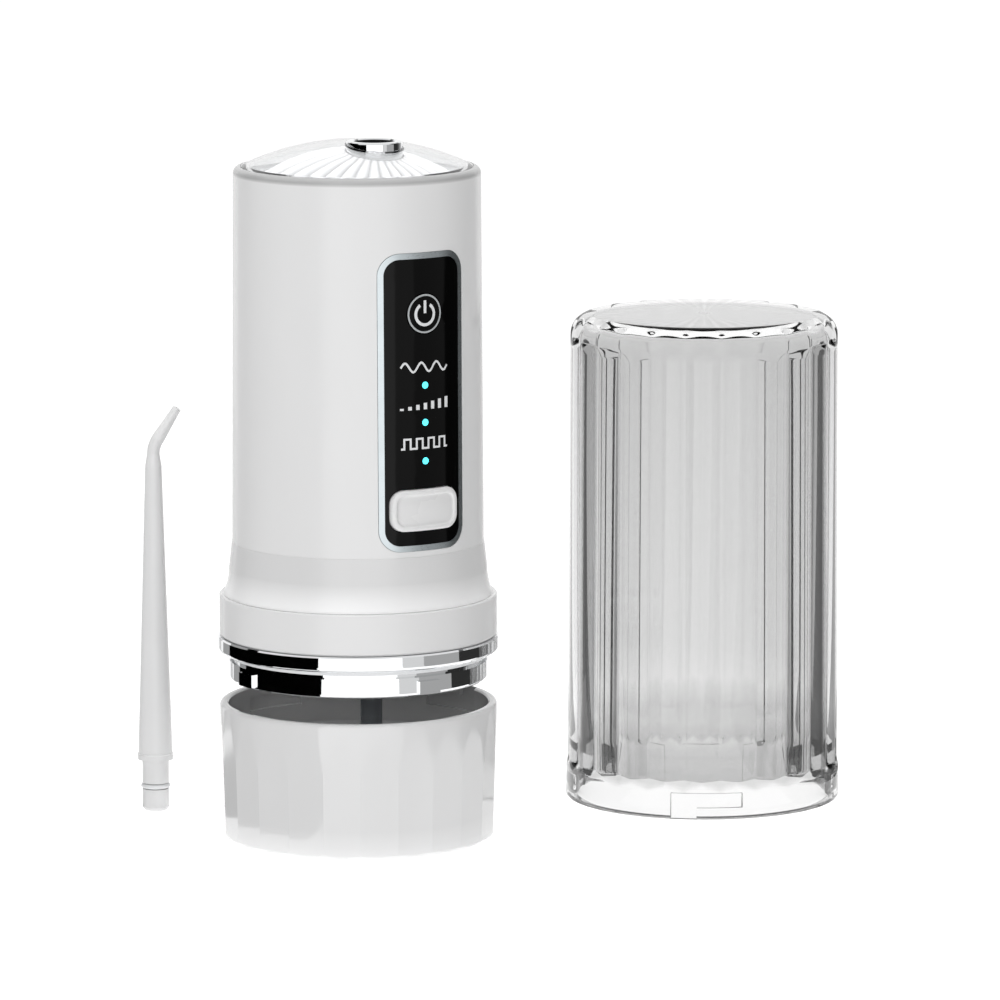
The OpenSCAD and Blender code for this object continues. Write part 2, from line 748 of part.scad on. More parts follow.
module chassis() {
    top_z = top_plate_z + top_plate_t;
    wall_z = foot_z + foot_t / 2;
    pump_wall = [28, 2.2];
    pump_wall_y = -9.2;
    tail_wall = [8, 2];
    rod_below = 12;
    deck_front = 12.5;
    top_front = 18;
    shelf_y = 13;
    shelf_hw = 6;
    shelf_low_z = port_z - 9.2;
    shelf_z = port_z - socket_hh - 1.65;
    far = 200;
    color("gold")
        difference() {
            union() {
                translate([0, 0, foot_z]) ring(chassis_r, 9, foot_t);
                for (a = foot_screw_angles)
                    rotate([0, 0, a]) translate([foot_screw_r, 0, bulkhead_z + bulkhead_t + snug])
                        cylinder(r = foot_boss_r, h = foot_z - bulkhead_z - bulkhead_t + foot_t);
                intersection() {
                    translate([0, 0, wall_z]) ring(chassis_r, chassis_r - chassis_wall, top_z - wall_z);
                    translate([-chassis_r, chassis_y, 0]) cube([2 * chassis_r, 2 * chassis_r, far]);
                }
                intersection() {
                    translate([0, 0, plate_z]) cylinder(r = chassis_r, h = plate_t);
                    translate([-chassis_r, -deck_front, 0]) cube([2 * chassis_r, 2 * chassis_r, far]);
                }
                intersection() {
                    translate([0, 0, top_plate_z]) cylinder(r = chassis_r, h = top_plate_t);
                    translate([-chassis_r, -top_front, 0]) cube([2 * chassis_r, 2 * chassis_r, far]);
                }
                translate([-pump_wall[0] / 2, pump_wall_y, rod_z - rod_below])
                    cube([pump_wall[0], pump_wall[1], plate_z - rod_z + rod_below + 0.5]);
                translate([-tail_wall[0] / 2, rod_tail - 5, rod_z - rod_below / 2])
                    cube([tail_wall[0], tail_wall[1], plate_z - rod_z + rod_below / 2 + 0.5]);
                translate([-shelf_hw, shelf_y, shelf_low_z]) cube([2 * shelf_hw, chassis_r - shelf_y - 1, 2]);
                translate([-shelf_hw, shelf_y, shelf_low_z]) cube([2 * shelf_hw, 2, shelf_z - shelf_low_z]);
            }
            translate([-plug_hw - 2.1, 16, port_z - 7.2]) cube([2 * plug_hw + 4.2, 20, 14.2]);
            translate([motor_x, gear_y, 0]) cylinder(r = motor_boss_r + snug, h = far);
            for (y = [-1, 1])
                translate([motor_x, gear_y + y * motor_screw_y, plate_z - over])
                    cylinder(r = 1.15, h = plate_t + 2 * over);
            translate([0, gear_y, plate_z - over]) cylinder(r = shaft_r, h = plate_t + 2 * over);
            translate([0, -turret_y, top_plate_z - over]) cylinder(r = housing_r + 0.1, h = 10);
            for (x = [-1, 1])
                translate([x * housing_screw_x, -turret_y, top_plate_z - over]) cylinder(r = screw_r, h = 10);
            y_rod(pump_r + snug, 0, rod_z, -20, 0);
            y_rod(rod_r + run_gap, 0, rod_z, 0, 30);
            for (a = foot_screw_angles)
                rotate([0, 0, a])
                    translate([foot_screw_r, 0, 0]) cylinder(r = foot_shank_r, h = foot_z + foot_t - 0.5);
        }
}

module bulkhead() {
    screw_head_r = 2.1;
    color("white")
        difference() {
            union() {
                rotate_extrude()
                    polygon([[0, bulkhead_z + snug], [bulkhead_r, bulkhead_z + snug],
                        [bulkhead_r, bulkhead_z + 0.9], [bulkhead_r - 0.9, bulkhead_z + 0.9],
                        [bulkhead_r - 0.9, bulkhead_z + 2.1], [bulkhead_r, bulkhead_z + 2.1],
                        [bulkhead_r, bulkhead_z + bulkhead_t], [0, bulkhead_z + bulkhead_t]]);
                translate([0, -pickup_y, bulkhead_z - 2.8]) cylinder(r = 1.6, h = bulkhead_t + 7);
            }
            translate([0, -pickup_y, bulkhead_z - 10]) cylinder(r = 0.9, h = bulkhead_t + 20);
            for (a = foot_screw_angles)
                rotate([0, 0, a]) translate([foot_screw_r, 0, bulkhead_z - over]) {
                    cylinder(r = screw_head_r, h = 1.4 + over);
                    cylinder(r = foot_shank_r + 0.15, h = bulkhead_t + 2 * over);
                }
        }
}

module bulkhead_o_ring() {
    color("black") translate([0, 0, bulkhead_z + 1.5]) torus(bulkhead_r - 0.45, 0.45);
}

module bulkhead_screws() {
    color("silver")
        for (a = foot_screw_angles)
            rotate([0, 0, a]) translate([foot_screw_r, 0, bulkhead_z + 0.1]) {
                cylinder(r = 1.9, h = 1.3);
                cylinder(r = foot_shank_r, h = foot_z + foot_t - bulkhead_z - 1);
            }
}

// ---- Power and drive ----

module battery_cell() {
    color("royalblue")
        translate([battery_at[0], battery_at[1], battery_z]) {
            cylinder(r = battery_r, h = battery_l - 1.5);
            cylinder(r = battery_r - 4, h = battery_l);
        }
}

module battery_terminals() {
    color("silver")
        translate([battery_at[0], battery_at[1], 0]) {
            translate([-3, -4.5, deck_z]) cube([6, 9, tab_t]);
            translate([-3, -4.5, battery_z + battery_l]) cube([6, 9, tab_t]);
        }
}

module motor_can() {
    color("silver")
        translate([motor_x, gear_y, 0])
            difference() {
                union() {
                    translate([0, 0, deck_z]) cylinder(r = motor_r, h = motor_l);
                    translate([0, 0, plate_z + 0.6]) cylinder(r = motor_boss_r, h = plate_t);
                }
                translate([0, 0, plate_z]) cylinder(r = shaft_r + run_gap, h = motor_l);
                for (y = [-1, 1])
                    translate([0, y * motor_screw_y, deck_z - over]) cylinder(r = 1, h = 4);
            }
}

module motor_cap() {
    color("dimgray")
        translate([motor_x, gear_y, deck_z + motor_l + snug]) {
            cylinder(r = motor_r - 0.6, h = 2);
            for (y = [-1, 1])
                translate([-1.2, y * 5 - 0.25, 1]) cube([2.4, 0.5, 4]);
        }
}

module motor_screws() {
    color("silver")
        for (y = [-1, 1])
            translate([motor_x, gear_y + y * motor_screw_y, 0]) {
                translate([0, 0, plate_z - 1.1]) cylinder(r = 1.8, h = 1.1);
                translate([0, 0, plate_z - 0.5]) cylinder(r = 1, h = plate_t + 3);
            }
}

module motor_shaft() {
    color("silver")
        translate([motor_x, gear_y, gear_z - 0.5]) cylinder(r = shaft_r, h = motor_l + 5);
}

module drive_pinion() {
    color("goldenrod")
        translate([motor_x, gear_y, gear_z])
            difference() {
                linear_extrude(height = gear_t + 0.6) gear_plan(pinion_teeth, 180 / pinion_teeth);
                translate([0, 0, -over]) cylinder(r = shaft_r, h = gear_t + 3);
            }
}

module crank_gear() {
    color("ivory")
        translate([0, gear_y, 0])
            difference() {
                union() {
                    translate([0, 0, gear_z]) linear_extrude(height = gear_t) gear_plan(crank_teeth);
                    translate([0, 0, gear_z - crank_disc_t])
                        cylinder(r = crank_disc_r, h = crank_disc_t + 0.1);
                    translate([0, 0, gear_z]) cylinder(r = 3, h = gear_t + 1.3);
                }
                translate([0, 0, gear_z + 0.2]) cylinder(r = shaft_r + run_gap, h = gear_t + 3);
                translate([crank_throw, 0, gear_z - crank_disc_t - over])
                    cylinder(r = pin_r, h = crank_disc_t + over);
            }
}

module gear_axle() {
    color("silver") translate([0, gear_y, gear_z + 0.4]) cylinder(r = shaft_r, h = deck_z - gear_z - 0.5);
}

module crank_pin() {
    color("silver")
        translate([crank_throw, gear_y, rod_z - yoke_t / 2 + 0.2])
            cylinder(r = pin_r, h = gear_z - rod_z + yoke_t / 2 - 0.2);
}

module crank_roller() {
    color("goldenrod")
        translate([crank_throw, gear_y, rod_z - yoke_t / 2 + 0.4])
            ring(roller_r, pin_r + run_gap, yoke_t - 0.7);
}

module plunger_yoke() {
    color("ivory")
        difference() {
            union() {
                translate([-yoke_hx, gear_y - yoke_hy, rod_z - yoke_t / 2])
                    cube([2 * yoke_hx, 2 * yoke_hy, yoke_t]);
                y_rod(rod_r, 0, rod_z, rod_front, gear_y - yoke_hy + 0.5);
                y_rod(rod_r, 0, rod_z, gear_y + yoke_hy - 0.5, rod_tail);
            }
            translate([-window_x, gear_y - window_y, rod_z - yoke_t])
                cube([2 * window_x, 2 * window_y, 2 * yoke_t]);
            translate([0, seal_y + 0.5, rod_z]) rotate([90, 0, 0]) ring(rod_r + over, rod_r - 0.6, 1);
        }
}

module plunger_seal() {
    color("black") translate([0, seal_y, rod_z]) rotate([90, 0, 0]) torus(rod_r - 0.25, 0.25);
}

module pump_cylinder() {
    color("lightgray")
        difference() {
            y_rod(pump_r, 0, rod_z, pump_front, pump_back);
            y_rod(rod_r + run_gap, 0, rod_z, pump_front - over, pump_back + over);
        }
}

module valve_block() {
    spigot = 3;
    color("gray")
        difference() {
            union() {
                translate([-block_hx, block_y, block_z])
                    cube([2 * block_hx, pump_front - block_y - snug, block_h]);
                translate([0, line_y, block_z - spigot])
                    cylinder(r = spigot_tube_r, h = block_h + 2 * spigot);
            }
            translate([0, line_y, block_z - spigot - over])
                cylinder(r = spigot_bore_r, h = block_h + 2 * spigot + 2 * over);
            translate([0, line_y, block_z + 1]) cylinder(r = port_r, h = block_h - 2);
            y_rod(0.6, 0, rod_z, line_y, pump_front + over);
        }
}

module valve_balls() {
    color("silver")
        for (z = [block_z + 2, rod_z + 2])
            translate([0, line_y, z]) sphere(r = port_r - 0.1, $fn = 32);
}

module suction_tube() {
    bore = 1.65;
    bend = (-pickup_y - line_y) / 2;
    top_z = block_z - 0.1;
    bend_top_z = block_z - 3.2;
    low_z = bulkhead_z + bulkhead_t + 0.1;
    color("lightblue") {
        translate([0, line_y, bend_top_z]) ring(bore + hose_wall, bore, top_z - bend_top_z);
        translate([0, line_y, bend_top_z]) mirror([0, 0, 1]) s_tube(bore + hose_wall, bore, bend);
        translate([0, -pickup_y, low_z]) ring(bore + hose_wall, bore, bend_top_z - 2 * bend - low_z);
    }
}

module pressure_tube() {
    bore = spigot_tube_r + snug;
    bend = (-turret_y - line_y) / 2;
    low_z = block_z + block_h + 0.1;
    top_z = housing_floor_z - housing_floor_t - 0.1;
    bend_z0 = top_z - 2.8 - 2 * bend;
    color("lightblue") {
        translate([0, line_y, low_z]) ring(bore + hose_wall, bore, bend_z0 - low_z);
        translate([0, line_y, bend_z0]) s_tube(bore + hose_wall, bore, bend);
        translate([0, -turret_y, bend_z0 + 2 * bend])
            ring(bore + hose_wall, bore, top_z - bend_z0 - 2 * bend);
    }
}

module pickup_tube() {
    color("lightslategray")
        translate([0, -pickup_y, pickup_low_z]) ring(pickup_r, 1.65, bulkhead_z - 0.1 - pickup_low_z);
}

module pickup_strainer() {
    color("lightgray")
        translate([0, -pickup_y, pickup_low_z - 1.3])
            difference() {
                cylinder(r = pickup_r + 0.7, h = 4);
                translate([0, 0, 1.2]) cylinder(r = pickup_r + snug, h = 4);
                for (a = [0:60:120])
                    rotate([0, 0, a]) translate([-5, -0.3, -over]) cube([10, 0.6, 1.8]);
            }
}

// ---- Electronics ----

module circuit_board() {
    color("seagreen")
        difference() {
            translate([-board_hw, board_front, board_z]) cube([2 * board_hw, board_t, board_h]);
            for (x = [-1, 1], z = board_screw_zs)
                y_rod(screw_r + 0.15, x * board_screw_x, z, board_front - over, board_back + over);
        }
}

module board_screws() {
    color("silver")
        for (x = [-1, 1], z = board_screw_zs) {
            y_rod(screw_r, x * board_screw_x, z, -23.3, board_back + 0.3);
            y_rod(1.5, x * board_screw_x, z, board_back, board_back + 1);
        }
}

module tact_switches() {
    color("dimgray")
        for (z = [power_z, mode_z]) {
            translate([-switch_w / 2, board_front - switch_t, z - switch_w / 2])
                cube([switch_w, switch_t, switch_w]);
            y_rod(1.2, 0, z, switch_face, board_front);
        }
}

module indicator_leds() {
    color("cyan")
        for (rise = led_rises)
            translate([-0.8, board_front - 0.6, bezel_z + rise - 0.4]) cube([1.6, 0.6, 0.8]);
}

module charge_socket() {
    color("silver")
        difference() {
            face_plate(socket_hw, socket_hh, socket_hh - 0.01, port_z, socket_back, socket_front);
            difference() {
                face_plate(socket_hw - socket_wall, socket_hh - socket_wall, socket_hh - socket_wall - 0.01,
                    port_z, socket_back + 1, socket_front + over);
                translate([-3.3, socket_back, port_z - 0.35]) cube([6.6, 6, 0.7]);
            }
        }
}

module charge_board() {
    t = 1.5;
    color("seagreen")
        translate([-6, 13, port_z - socket_hh - snug - t]) cube([12, 9, t]);
}

module port_plug() {
    high = plug_h - 0.4;
    boss_hw = socket_hw - socket_wall - 0.17;
    boss_hh = socket_hh - socket_wall - 0.2;
    face_y = recess_floor + key_gap;
    color("gray") {
        intersection() {
            taper_skin(plug_axis_z - 1, plug_axis_z + plug_h + 1, shell_bore_r / 2, -0.05);
            face_plate(plug_hw, high / 2, plug_corner, plug_axis_z + 0.4 + high / 2, face_y, 2 * flange_r);
        }
        translate([-3, plug_axis_y, plug_axis_z]) rotate([0, 90, 0]) cylinder(r = 0.6, h = 6);
        face_plate(boss_hw, boss_hh, boss_hh - 0.01, port_z, socket_front - 0.4, face_y + 0.1);
    }
}

// ---- Cover and nozzle ----

module cover_plan() {
    half = 180 / lobe_count;
    centre = (lobe_r * lobe_r - valley_r * valley_r) / (2 * (lobe_r - valley_r * cos(half)));
    circle(r = centre);
    for (i = [0:lobe_count - 1])
        rotate(-90 + 360 * (i + 0.5) / lobe_count) translate([centre, 0]) circle(r = lobe_r - centre);
}

module clear_cover() {
    low_z = cover_rim_h / 2;
    edge_at = lobe_r + 0.05 - cover_edge_r;
    inner_edge = 3;
    inside_h = cover_h - cover_top - inner_edge;
    color([0.85, 0.9, 0.92, 0.5])
        translate([cover_at[0], cover_at[1], 0])
            rotate([0, 0, cover_turn])
                difference() {
                    union() {
                        intersection() {
                            translate([0, 0, low_z]) linear_extrude(height = cover_h - low_z) cover_plan();
                            rotate_extrude()
                                polygon(concat([[0, 0], [lobe_r + over, 0]],
                                    arc(edge_at, cover_h - cover_edge_r, cover_edge_r, 0, 90),
                                    [[0, cover_h]]));
                        }
                        cylinder(r = cover_rim_r, h = cover_rim_h);
                    }
                    translate([0, 0, -over]) cylinder(r = mouth_r, h = cover_rim_h + 1.5 + over);
                    cylinder(r = cover_bore_r, h = inside_h);
                    translate([0, 0, inside_h - 0.01])
                        cylinder(r1 = cover_bore_r, r2 = cover_bore_r - inner_edge, h = inner_edge + 0.01);
                    bayonet_grooves();
                }
}

// Elbow of the nozzle towards +X, then its straight tip
module nozzle_bend() {
    translate([elbow_bend, 0, bend_z]) rotate([90, 0, 0]) mirror([1, 0, 0])
        rotate_extrude(angle = bend_angle) translate([elbow_bend, 0])
            difference() {
                circle(r = elbow_r, $fn = 48);
                circle(r = jet_r, $fn = 48);
            }
    translate([elbow_bend, 0, bend_z]) rotate([0, bend_angle, 0]) translate([-elbow_bend, 0, 0])
        rotate_extrude()
            polygon([[tip_bore_r, 0], [elbow_r + tip_lip, 0], [tip_r, tip_l], [tip_bore_r, tip_l]]);
}

module nozzle() {
    bore = 1.2;
    color("white")
        translate([nozzle_at[0], nozzle_at[1], 0])
            rotate([0, 0, nozzle_turn]) {
                rotate_extrude()
                    polygon([[bore, 0], [plug_r - 0.5, 0], [plug_r, 0.7], [plug_r, ring_groove_z],
                        [plug_r - 0.75, ring_groove_z], [plug_r - 0.75, ring_groove_z + ring_groove_h],
                        [plug_r, ring_groove_z + ring_groove_h], [plug_r, plug_l], [lip_r, plug_l + 0.05],
                        [lip_r, plug_l + 1.2], [nozzle_foot_r, plug_l + 1.35],
                        [nozzle_neck_r, bend_z - 2.5], [elbow_r, bend_z], [jet_r, bend_z],
                        [jet_r, bend_z - 8], [bore, bend_z - 12]]);
                nozzle_bend();
            }
}

module nozzle_o_ring() {
    color("white")
        translate([nozzle_at[0], nozzle_at[1], ring_groove_z + ring_groove_h / 2]) torus(plug_r - 0.22, 0.5);
}

base_cup();
collar_seal();
bayonet_collar();
body_flange();
main_shell();
panel_bezel();
panel_window();
power_key();
light_pipes();
mode_button();
top_lens();
sunburst_insert();
turret_stem();
turret_cap();
turret_o_ring();
turret_retainer();
turret_housing();
housing_screws();
chassis();
bulkhead();
bulkhead_o_ring();
bulkhead_screws();
battery_cell();
battery_terminals();
motor_can();
motor_cap();
motor_screws();
motor_shaft();
drive_pinion();
crank_gear();
gear_axle();
crank_pin();
crank_roller();
plunger_yoke();
plunger_seal();
pump_cylinder();
valve_block();
valve_balls();
suction_tube();
pressure_tube();
pickup_tube();
pickup_strainer();
circuit_board();
board_screws();
tact_switches();
indicator_leds();
charge_socket();
charge_board();
port_plug();
clear_cover();
nozzle();
nozzle_o_ring();
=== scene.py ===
"""Looks of the travel water flosser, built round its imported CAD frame. Metres; panel faces -Y, Z is up."""
import json
import math

import bpy
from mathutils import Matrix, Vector


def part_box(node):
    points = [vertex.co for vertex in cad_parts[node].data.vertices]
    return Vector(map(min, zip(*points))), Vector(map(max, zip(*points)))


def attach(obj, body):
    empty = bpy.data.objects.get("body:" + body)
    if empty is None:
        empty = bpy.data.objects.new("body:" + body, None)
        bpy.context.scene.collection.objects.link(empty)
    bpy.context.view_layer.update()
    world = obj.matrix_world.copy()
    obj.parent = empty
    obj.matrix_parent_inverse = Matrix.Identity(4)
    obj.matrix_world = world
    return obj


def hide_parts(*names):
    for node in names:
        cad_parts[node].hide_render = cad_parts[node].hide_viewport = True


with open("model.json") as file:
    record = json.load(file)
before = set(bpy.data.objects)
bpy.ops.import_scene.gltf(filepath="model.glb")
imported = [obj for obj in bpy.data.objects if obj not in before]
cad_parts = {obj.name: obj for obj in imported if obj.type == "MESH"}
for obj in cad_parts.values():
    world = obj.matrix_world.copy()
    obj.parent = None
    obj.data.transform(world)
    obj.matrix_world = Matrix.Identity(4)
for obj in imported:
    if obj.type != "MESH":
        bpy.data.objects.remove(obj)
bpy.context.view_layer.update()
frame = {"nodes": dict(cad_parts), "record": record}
NODES = frame["nodes"]
MM = 0.001

# ---------------------------------------------------------------- places read from the frame

CUP_LOW, CUP_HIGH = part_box("base_cup")
CUP_R = CUP_HIGH.x
CUP_H = CUP_HIGH.z
COVER_LOW, COVER_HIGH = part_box("clear_cover")
COVER_AT = ((COVER_LOW.x + COVER_HIGH.x) / 2, (COVER_LOW.y + COVER_HIGH.y) / 2)
COVER_H = COVER_HIGH.z
COVER_RIM_R = (COVER_HIGH.x - COVER_LOW.x) / 2
LENS_LOW, LENS_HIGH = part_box("top_lens")
LENS_R = LENS_HIGH.x
SHELL_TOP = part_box("main_shell")[1].z
CAP_LOW, CAP_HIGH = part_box("turret_cap")
CAP_R = (CAP_HIGH.x - CAP_LOW.x) / 2
TURRET_Y = (CAP_LOW.y + CAP_HIGH.y) / 2
WINDOW_LOW, WINDOW_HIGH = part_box("panel_window")
BUTTON_LOW, BUTTON_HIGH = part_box("mode_button")
KEY_LOW, KEY_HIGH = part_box("power_key")
KEY_Z = (KEY_LOW.z + KEY_HIGH.z) / 2
FACETS = 23
FACET_PITCH = 2 * math.pi / FACETS
PANEL_ANGLE = -math.pi / 2


# ---------------------------------------------------------------- mesh helpers

def new_piece(name, verts, faces, body, material, replaces=(), smooth=40):
    """A mesh piece that rides on a body, shaded smooth except over edges sharper than `smooth` degrees."""
    mesh = bpy.data.meshes.new(name)
    mesh.from_pydata([tuple(v) for v in verts], [], faces)
    mesh.validate()
    obj = bpy.data.objects.new(name, mesh)
    bpy.context.scene.collection.objects.link(obj)
    shade(obj, smooth)
    mesh.materials.append(material)
    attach(obj, body)
    if replaces:
        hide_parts(*replaces)
    return obj


def shade(obj, degrees):
    """Smooth shading that keeps edges sharper than this angle."""
    mesh = obj.data
    mesh.polygons.foreach_set("use_smooth", [True] * len(mesh.polygons))
    mesh.set_sharp_from_angle(angle=math.radians(degrees))


def skin_rings(rings, loop=False, cap_start=False, cap_end=False):
    """Vertices and faces of a surface through closed rings of equal length; loop joins the last to the first."""
    verts = [p for ring in rings for p in ring]
    n = len(rings[0])
    faces = []
    pairs = list(zip(range(len(rings) - 1), range(1, len(rings))))
    if loop:
        pairs.append((len(rings) - 1, 0))
    for a, b in pairs:
        for i in range(n):
            j = (i + 1) % n
            faces.append((a * n + i, a * n + j, b * n + j, b * n + i))
    if cap_start:
        faces.append(tuple(reversed(range(n))))
    if cap_end:
        last = (len(rings) - 1) * n
        faces.append(tuple(range(last, last + n)))
    return verts, faces


def lathe_rings(profile, angles, radius=None, centre=(0, 0)):
    """Rings of a turned profile of (r, z) pairs; radius(r, z, angle, index) may change r round the ring."""
    rings = []
    for index, (r, z) in enumerate(profile):
        ring = []
        for a in angles:
            rr = radius(r, z, a, index) if radius else r
            ring.append((centre[0] + rr * math.cos(a), centre[1] + rr * math.sin(a), z))
        rings.append(ring)
    return rings


def even_angles(n, start=0.0):
    return [start + 2 * math.pi * i / n for i in range(n)]


def arc_points(cx, cz, r, a0, a1, n):
    """Points (x, z) of an arc from a0 to a1 degrees."""
    return [(cx + r * math.cos(math.radians(a0 + (a1 - a0) * i / n)),
             cz + r * math.sin(math.radians(a0 + (a1 - a0) * i / n))) for i in range(n + 1)]


def facet_offset(angle, turn=PANEL_ANGLE):
    """Signed angle from the middle of the nearest facet or lobe; an edge lies at `turn`."""
    u = ((angle - turn) / FACET_PITCH) % 1.0
    return (u - 0.5) * FACET_PITCH


def smoothstep(t):
    t = min(max(t, 0.0), 1.0)
    return t * t * (3 - 2 * t)


# ---------------------------------------------------------------- materials

def material(name, colour, roughness, metallic=0.0, **sockets):
    """A Principled material with its fixed values on the shader's own sockets."""
    mat = bpy.data.materials.new(name)
    mat.use_nodes = True
    shader = mat.node_tree.nodes["Principled BSDF"]
    shader.inputs["Base Color"].default_value = (*colour, 1)
    shader.inputs["Roughness"].default_value = roughness
    shader.inputs["Metallic"].default_value = metallic
    for socket, value in sockets.items():
        shader.inputs[socket.replace("_", " ")].default_value = value
    return mat


def noise(mat, scale, detail=3.0, stretch=(1, 1, 1)):
    """Noise in the row frame; scale is in features per metre."""
    tree = mat.node_tree
    coords = tree.nodes.new("ShaderNodeTexCoord")
    mapping = tree.nodes.new("ShaderNodeMapping")
    mapping.inputs["Scale"].default_value = stretch
    texture = tree.nodes.new("ShaderNodeTexNoise")
    texture.inputs["Scale"].default_value = scale
    texture.inputs["Detail"].default_value = detail
    tree.links.new(coords.outputs["Object"], mapping.inputs["Vector"])
    tree.links.new(mapping.outputs["Vector"], texture.inputs["Vector"])
    return texture


def vary_colour(mat, texture, low, high):
    """Base colour runs between two colours along a texture."""
    tree = mat.node_tree
    ramp = tree.nodes.new("ShaderNodeValToRGB")
    ramp.color_ramp.elements[0].position = 0.3
    ramp.color_ramp.elements[0].color = (*low, 1)
    ramp.color_ramp.elements[1].position = 0.7
    ramp.color_ramp.elements[1].color = (*high, 1)
    tree.links.new(texture.outputs[0], ramp.inputs["Fac"])
    tree.links.new(ramp.outputs["Color"], tree.nodes["Principled BSDF"].inputs["Base Color"])


def place_sockets(tree):
    """Sockets for x, y and z in the row frame."""
    coords = tree.nodes.new("ShaderNodeTexCoord")
    split = tree.nodes.new("ShaderNodeSeparateXYZ")
    tree.links.new(coords.outputs["Object"], split.inputs["Vector"])
    return split.outputs["X"], split.outputs["Y"], split.outputs["Z"]


def tint_along(mat, low, high, stops, source=None):
    """Multiply the base colour by grey stops (place, value) along a source socket, or along height."""
    tree = mat.node_tree
    source = source or place_sockets(tree)[2]
    span = tree.nodes.new("ShaderNodeMapRange")
    span.inputs["From Min"].default_value = low
    span.inputs["From Max"].default_value = high
    ramp = tree.nodes.new("ShaderNodeValToRGB")
    elements = ramp.color_ramp.elements
    while len(elements) > 1:
        elements.remove(elements[-1])
    for i, (place, value) in enumerate(stops):
        share = (place - low) / (high - low)
        stop = elements[0] if i == 0 else elements.new(share)
        stop.position = share
        stop.color = (value, value, value, 1)
    mix = tree.nodes.new("ShaderNodeMix")
    mix.data_type = "RGBA"
    mix.blend_type = "MULTIPLY"
    mix.inputs["Factor"].default_value = 1.0
    base = tree.nodes["Principled BSDF"].inputs["Base Color"]
    if base.is_linked:
        tree.links.new(base.links[0].from_socket, mix.inputs["A"])
    else:
        mix.inputs["A"].default_value = base.default_value
    tree.links.new(source, span.inputs["Value"])
    tree.links.new(span.outputs["Result"], ramp.inputs["Fac"])
    tree.links.new(ramp.outputs["Color"], mix.inputs["B"])
    tree.links.new(mix.outputs["Result"], base)


def reckon(tree, operation, a, b):
    """Output of a math node; a and b are numbers or sockets."""
    node = tree.nodes.new("ShaderNodeMath")
    node.operation = operation
    for i, value in enumerate((a, b)):
        if isinstance(value, (int, float)):
            node.inputs[i].default_value = value
        else:
            tree.links.new(value, node.inputs[i])
    return node.outputs[0]


def height_and_angle(tree, x, y):
    """Sockets for the height and for the angle about an upright axis through x, y."""
    at_x, at_y, at_z = place_sockets(tree)
    return at_z, reckon(tree, "ARCTAN2", reckon(tree, "SUBTRACT", at_y, y), reckon(tree, "SUBTRACT", at_x, x))


def tint_inside(mat, x, y, radius, value):
    """Multiply the base colour by a grey value within a radius of an upright axis through x, y."""
    tree = mat.node_tree
    at_x, at_y, _ = place_sockets(tree)
    across = reckon(tree, "SUBTRACT", at_x, x)
    along = reckon(tree, "SUBTRACT", at_y, y)
    square = reckon(tree, "ADD", reckon(tree, "MULTIPLY", across, across), reckon(tree, "MULTIPLY", along, along))
    distance = reckon(tree, "POWER", square, 0.5)
    tint_along(mat, 0, 2 * radius, [(radius, value), (radius + 0.1 * MM, 1.0)], distance)


def vary_roughness(mat, texture, low, high):
    tree = mat.node_tree
    span = tree.nodes.new("ShaderNodeMapRange")
    span.inputs["To Min"].default_value = low
    span.inputs["To Max"].default_value = high
    tree.links.new(texture.outputs[0], span.inputs["Value"])
    tree.links.new(span.outputs["Result"], tree.nodes["Principled BSDF"].inputs["Roughness"])


def bump(mat, texture, distance, strength=0.2):
    """Surface relief of this height in metres."""
    tree = mat.node_tree
    node = tree.nodes.new("ShaderNodeBump")
    node.inputs["Distance"].default_value = distance
    node.inputs["Strength"].default_value = strength
    tree.links.new(texture.outputs[0], node.inputs["Height"])
    tree.links.new(node.outputs["Normal"], tree.nodes["Principled BSDF"].inputs["Normal"])


def moulded(name, colour, rough, grain=900.0, relief=0.00002, spread=0.05, tint=0.02, **sockets):
    """Moulded plastic: slight flow marks in colour and gloss, and a fine skin."""
    mat = material(name, colour, rough, **sockets)
    flow = noise(mat, 60.0, 2.0, (1, 1, 0.35))
    dark = tuple(max(c - tint, 0) for c in colour)
    vary_colour(mat, flow, dark, colour)
    vary_roughness(mat, noise(mat, 140.0, 3.0), rough - spread, rough + spread)
    bump(mat, noise(mat, grain, 2.0), relief, 0.15)
    return mat


def turned_metal(name, colour, rough, stretch=(1, 1, 14), **sockets):
    """Machined metal with fine lines."""
    mat = material(name, colour, rough, 1.0, **sockets)
    lines = noise(mat, 900.0, 4.0, stretch)
    vary_roughness(mat, lines, rough * 0.7, rough * 1.3)
    vary_colour(mat, noise(mat, 200.0), tuple(c * 0.93 for c in colour), colour)
    bump(mat, lines, 0.00001, 0.1)
    return mat


def clear_plastic(name, colour, rough):
    """Clear polycarbonate, tinted only by the given colour."""
    mat = material(name, colour, rough, Transmission_Weight=1.0, IOR=1.49)
    vary_roughness(mat, noise(mat, 50.0, 2.0), 0.0, rough * 2)
    return mat


def lit_lens(name, colour, strength):
    mat = material(name, colour, 0.15, Emission_Strength=strength)
    mat.node_tree.nodes["Principled BSDF"].inputs["Emission Color"].default_value = (*colour, 1)
    vary_roughness(mat, noise(mat, 4000.0), 0.08, 0.22)
    return mat


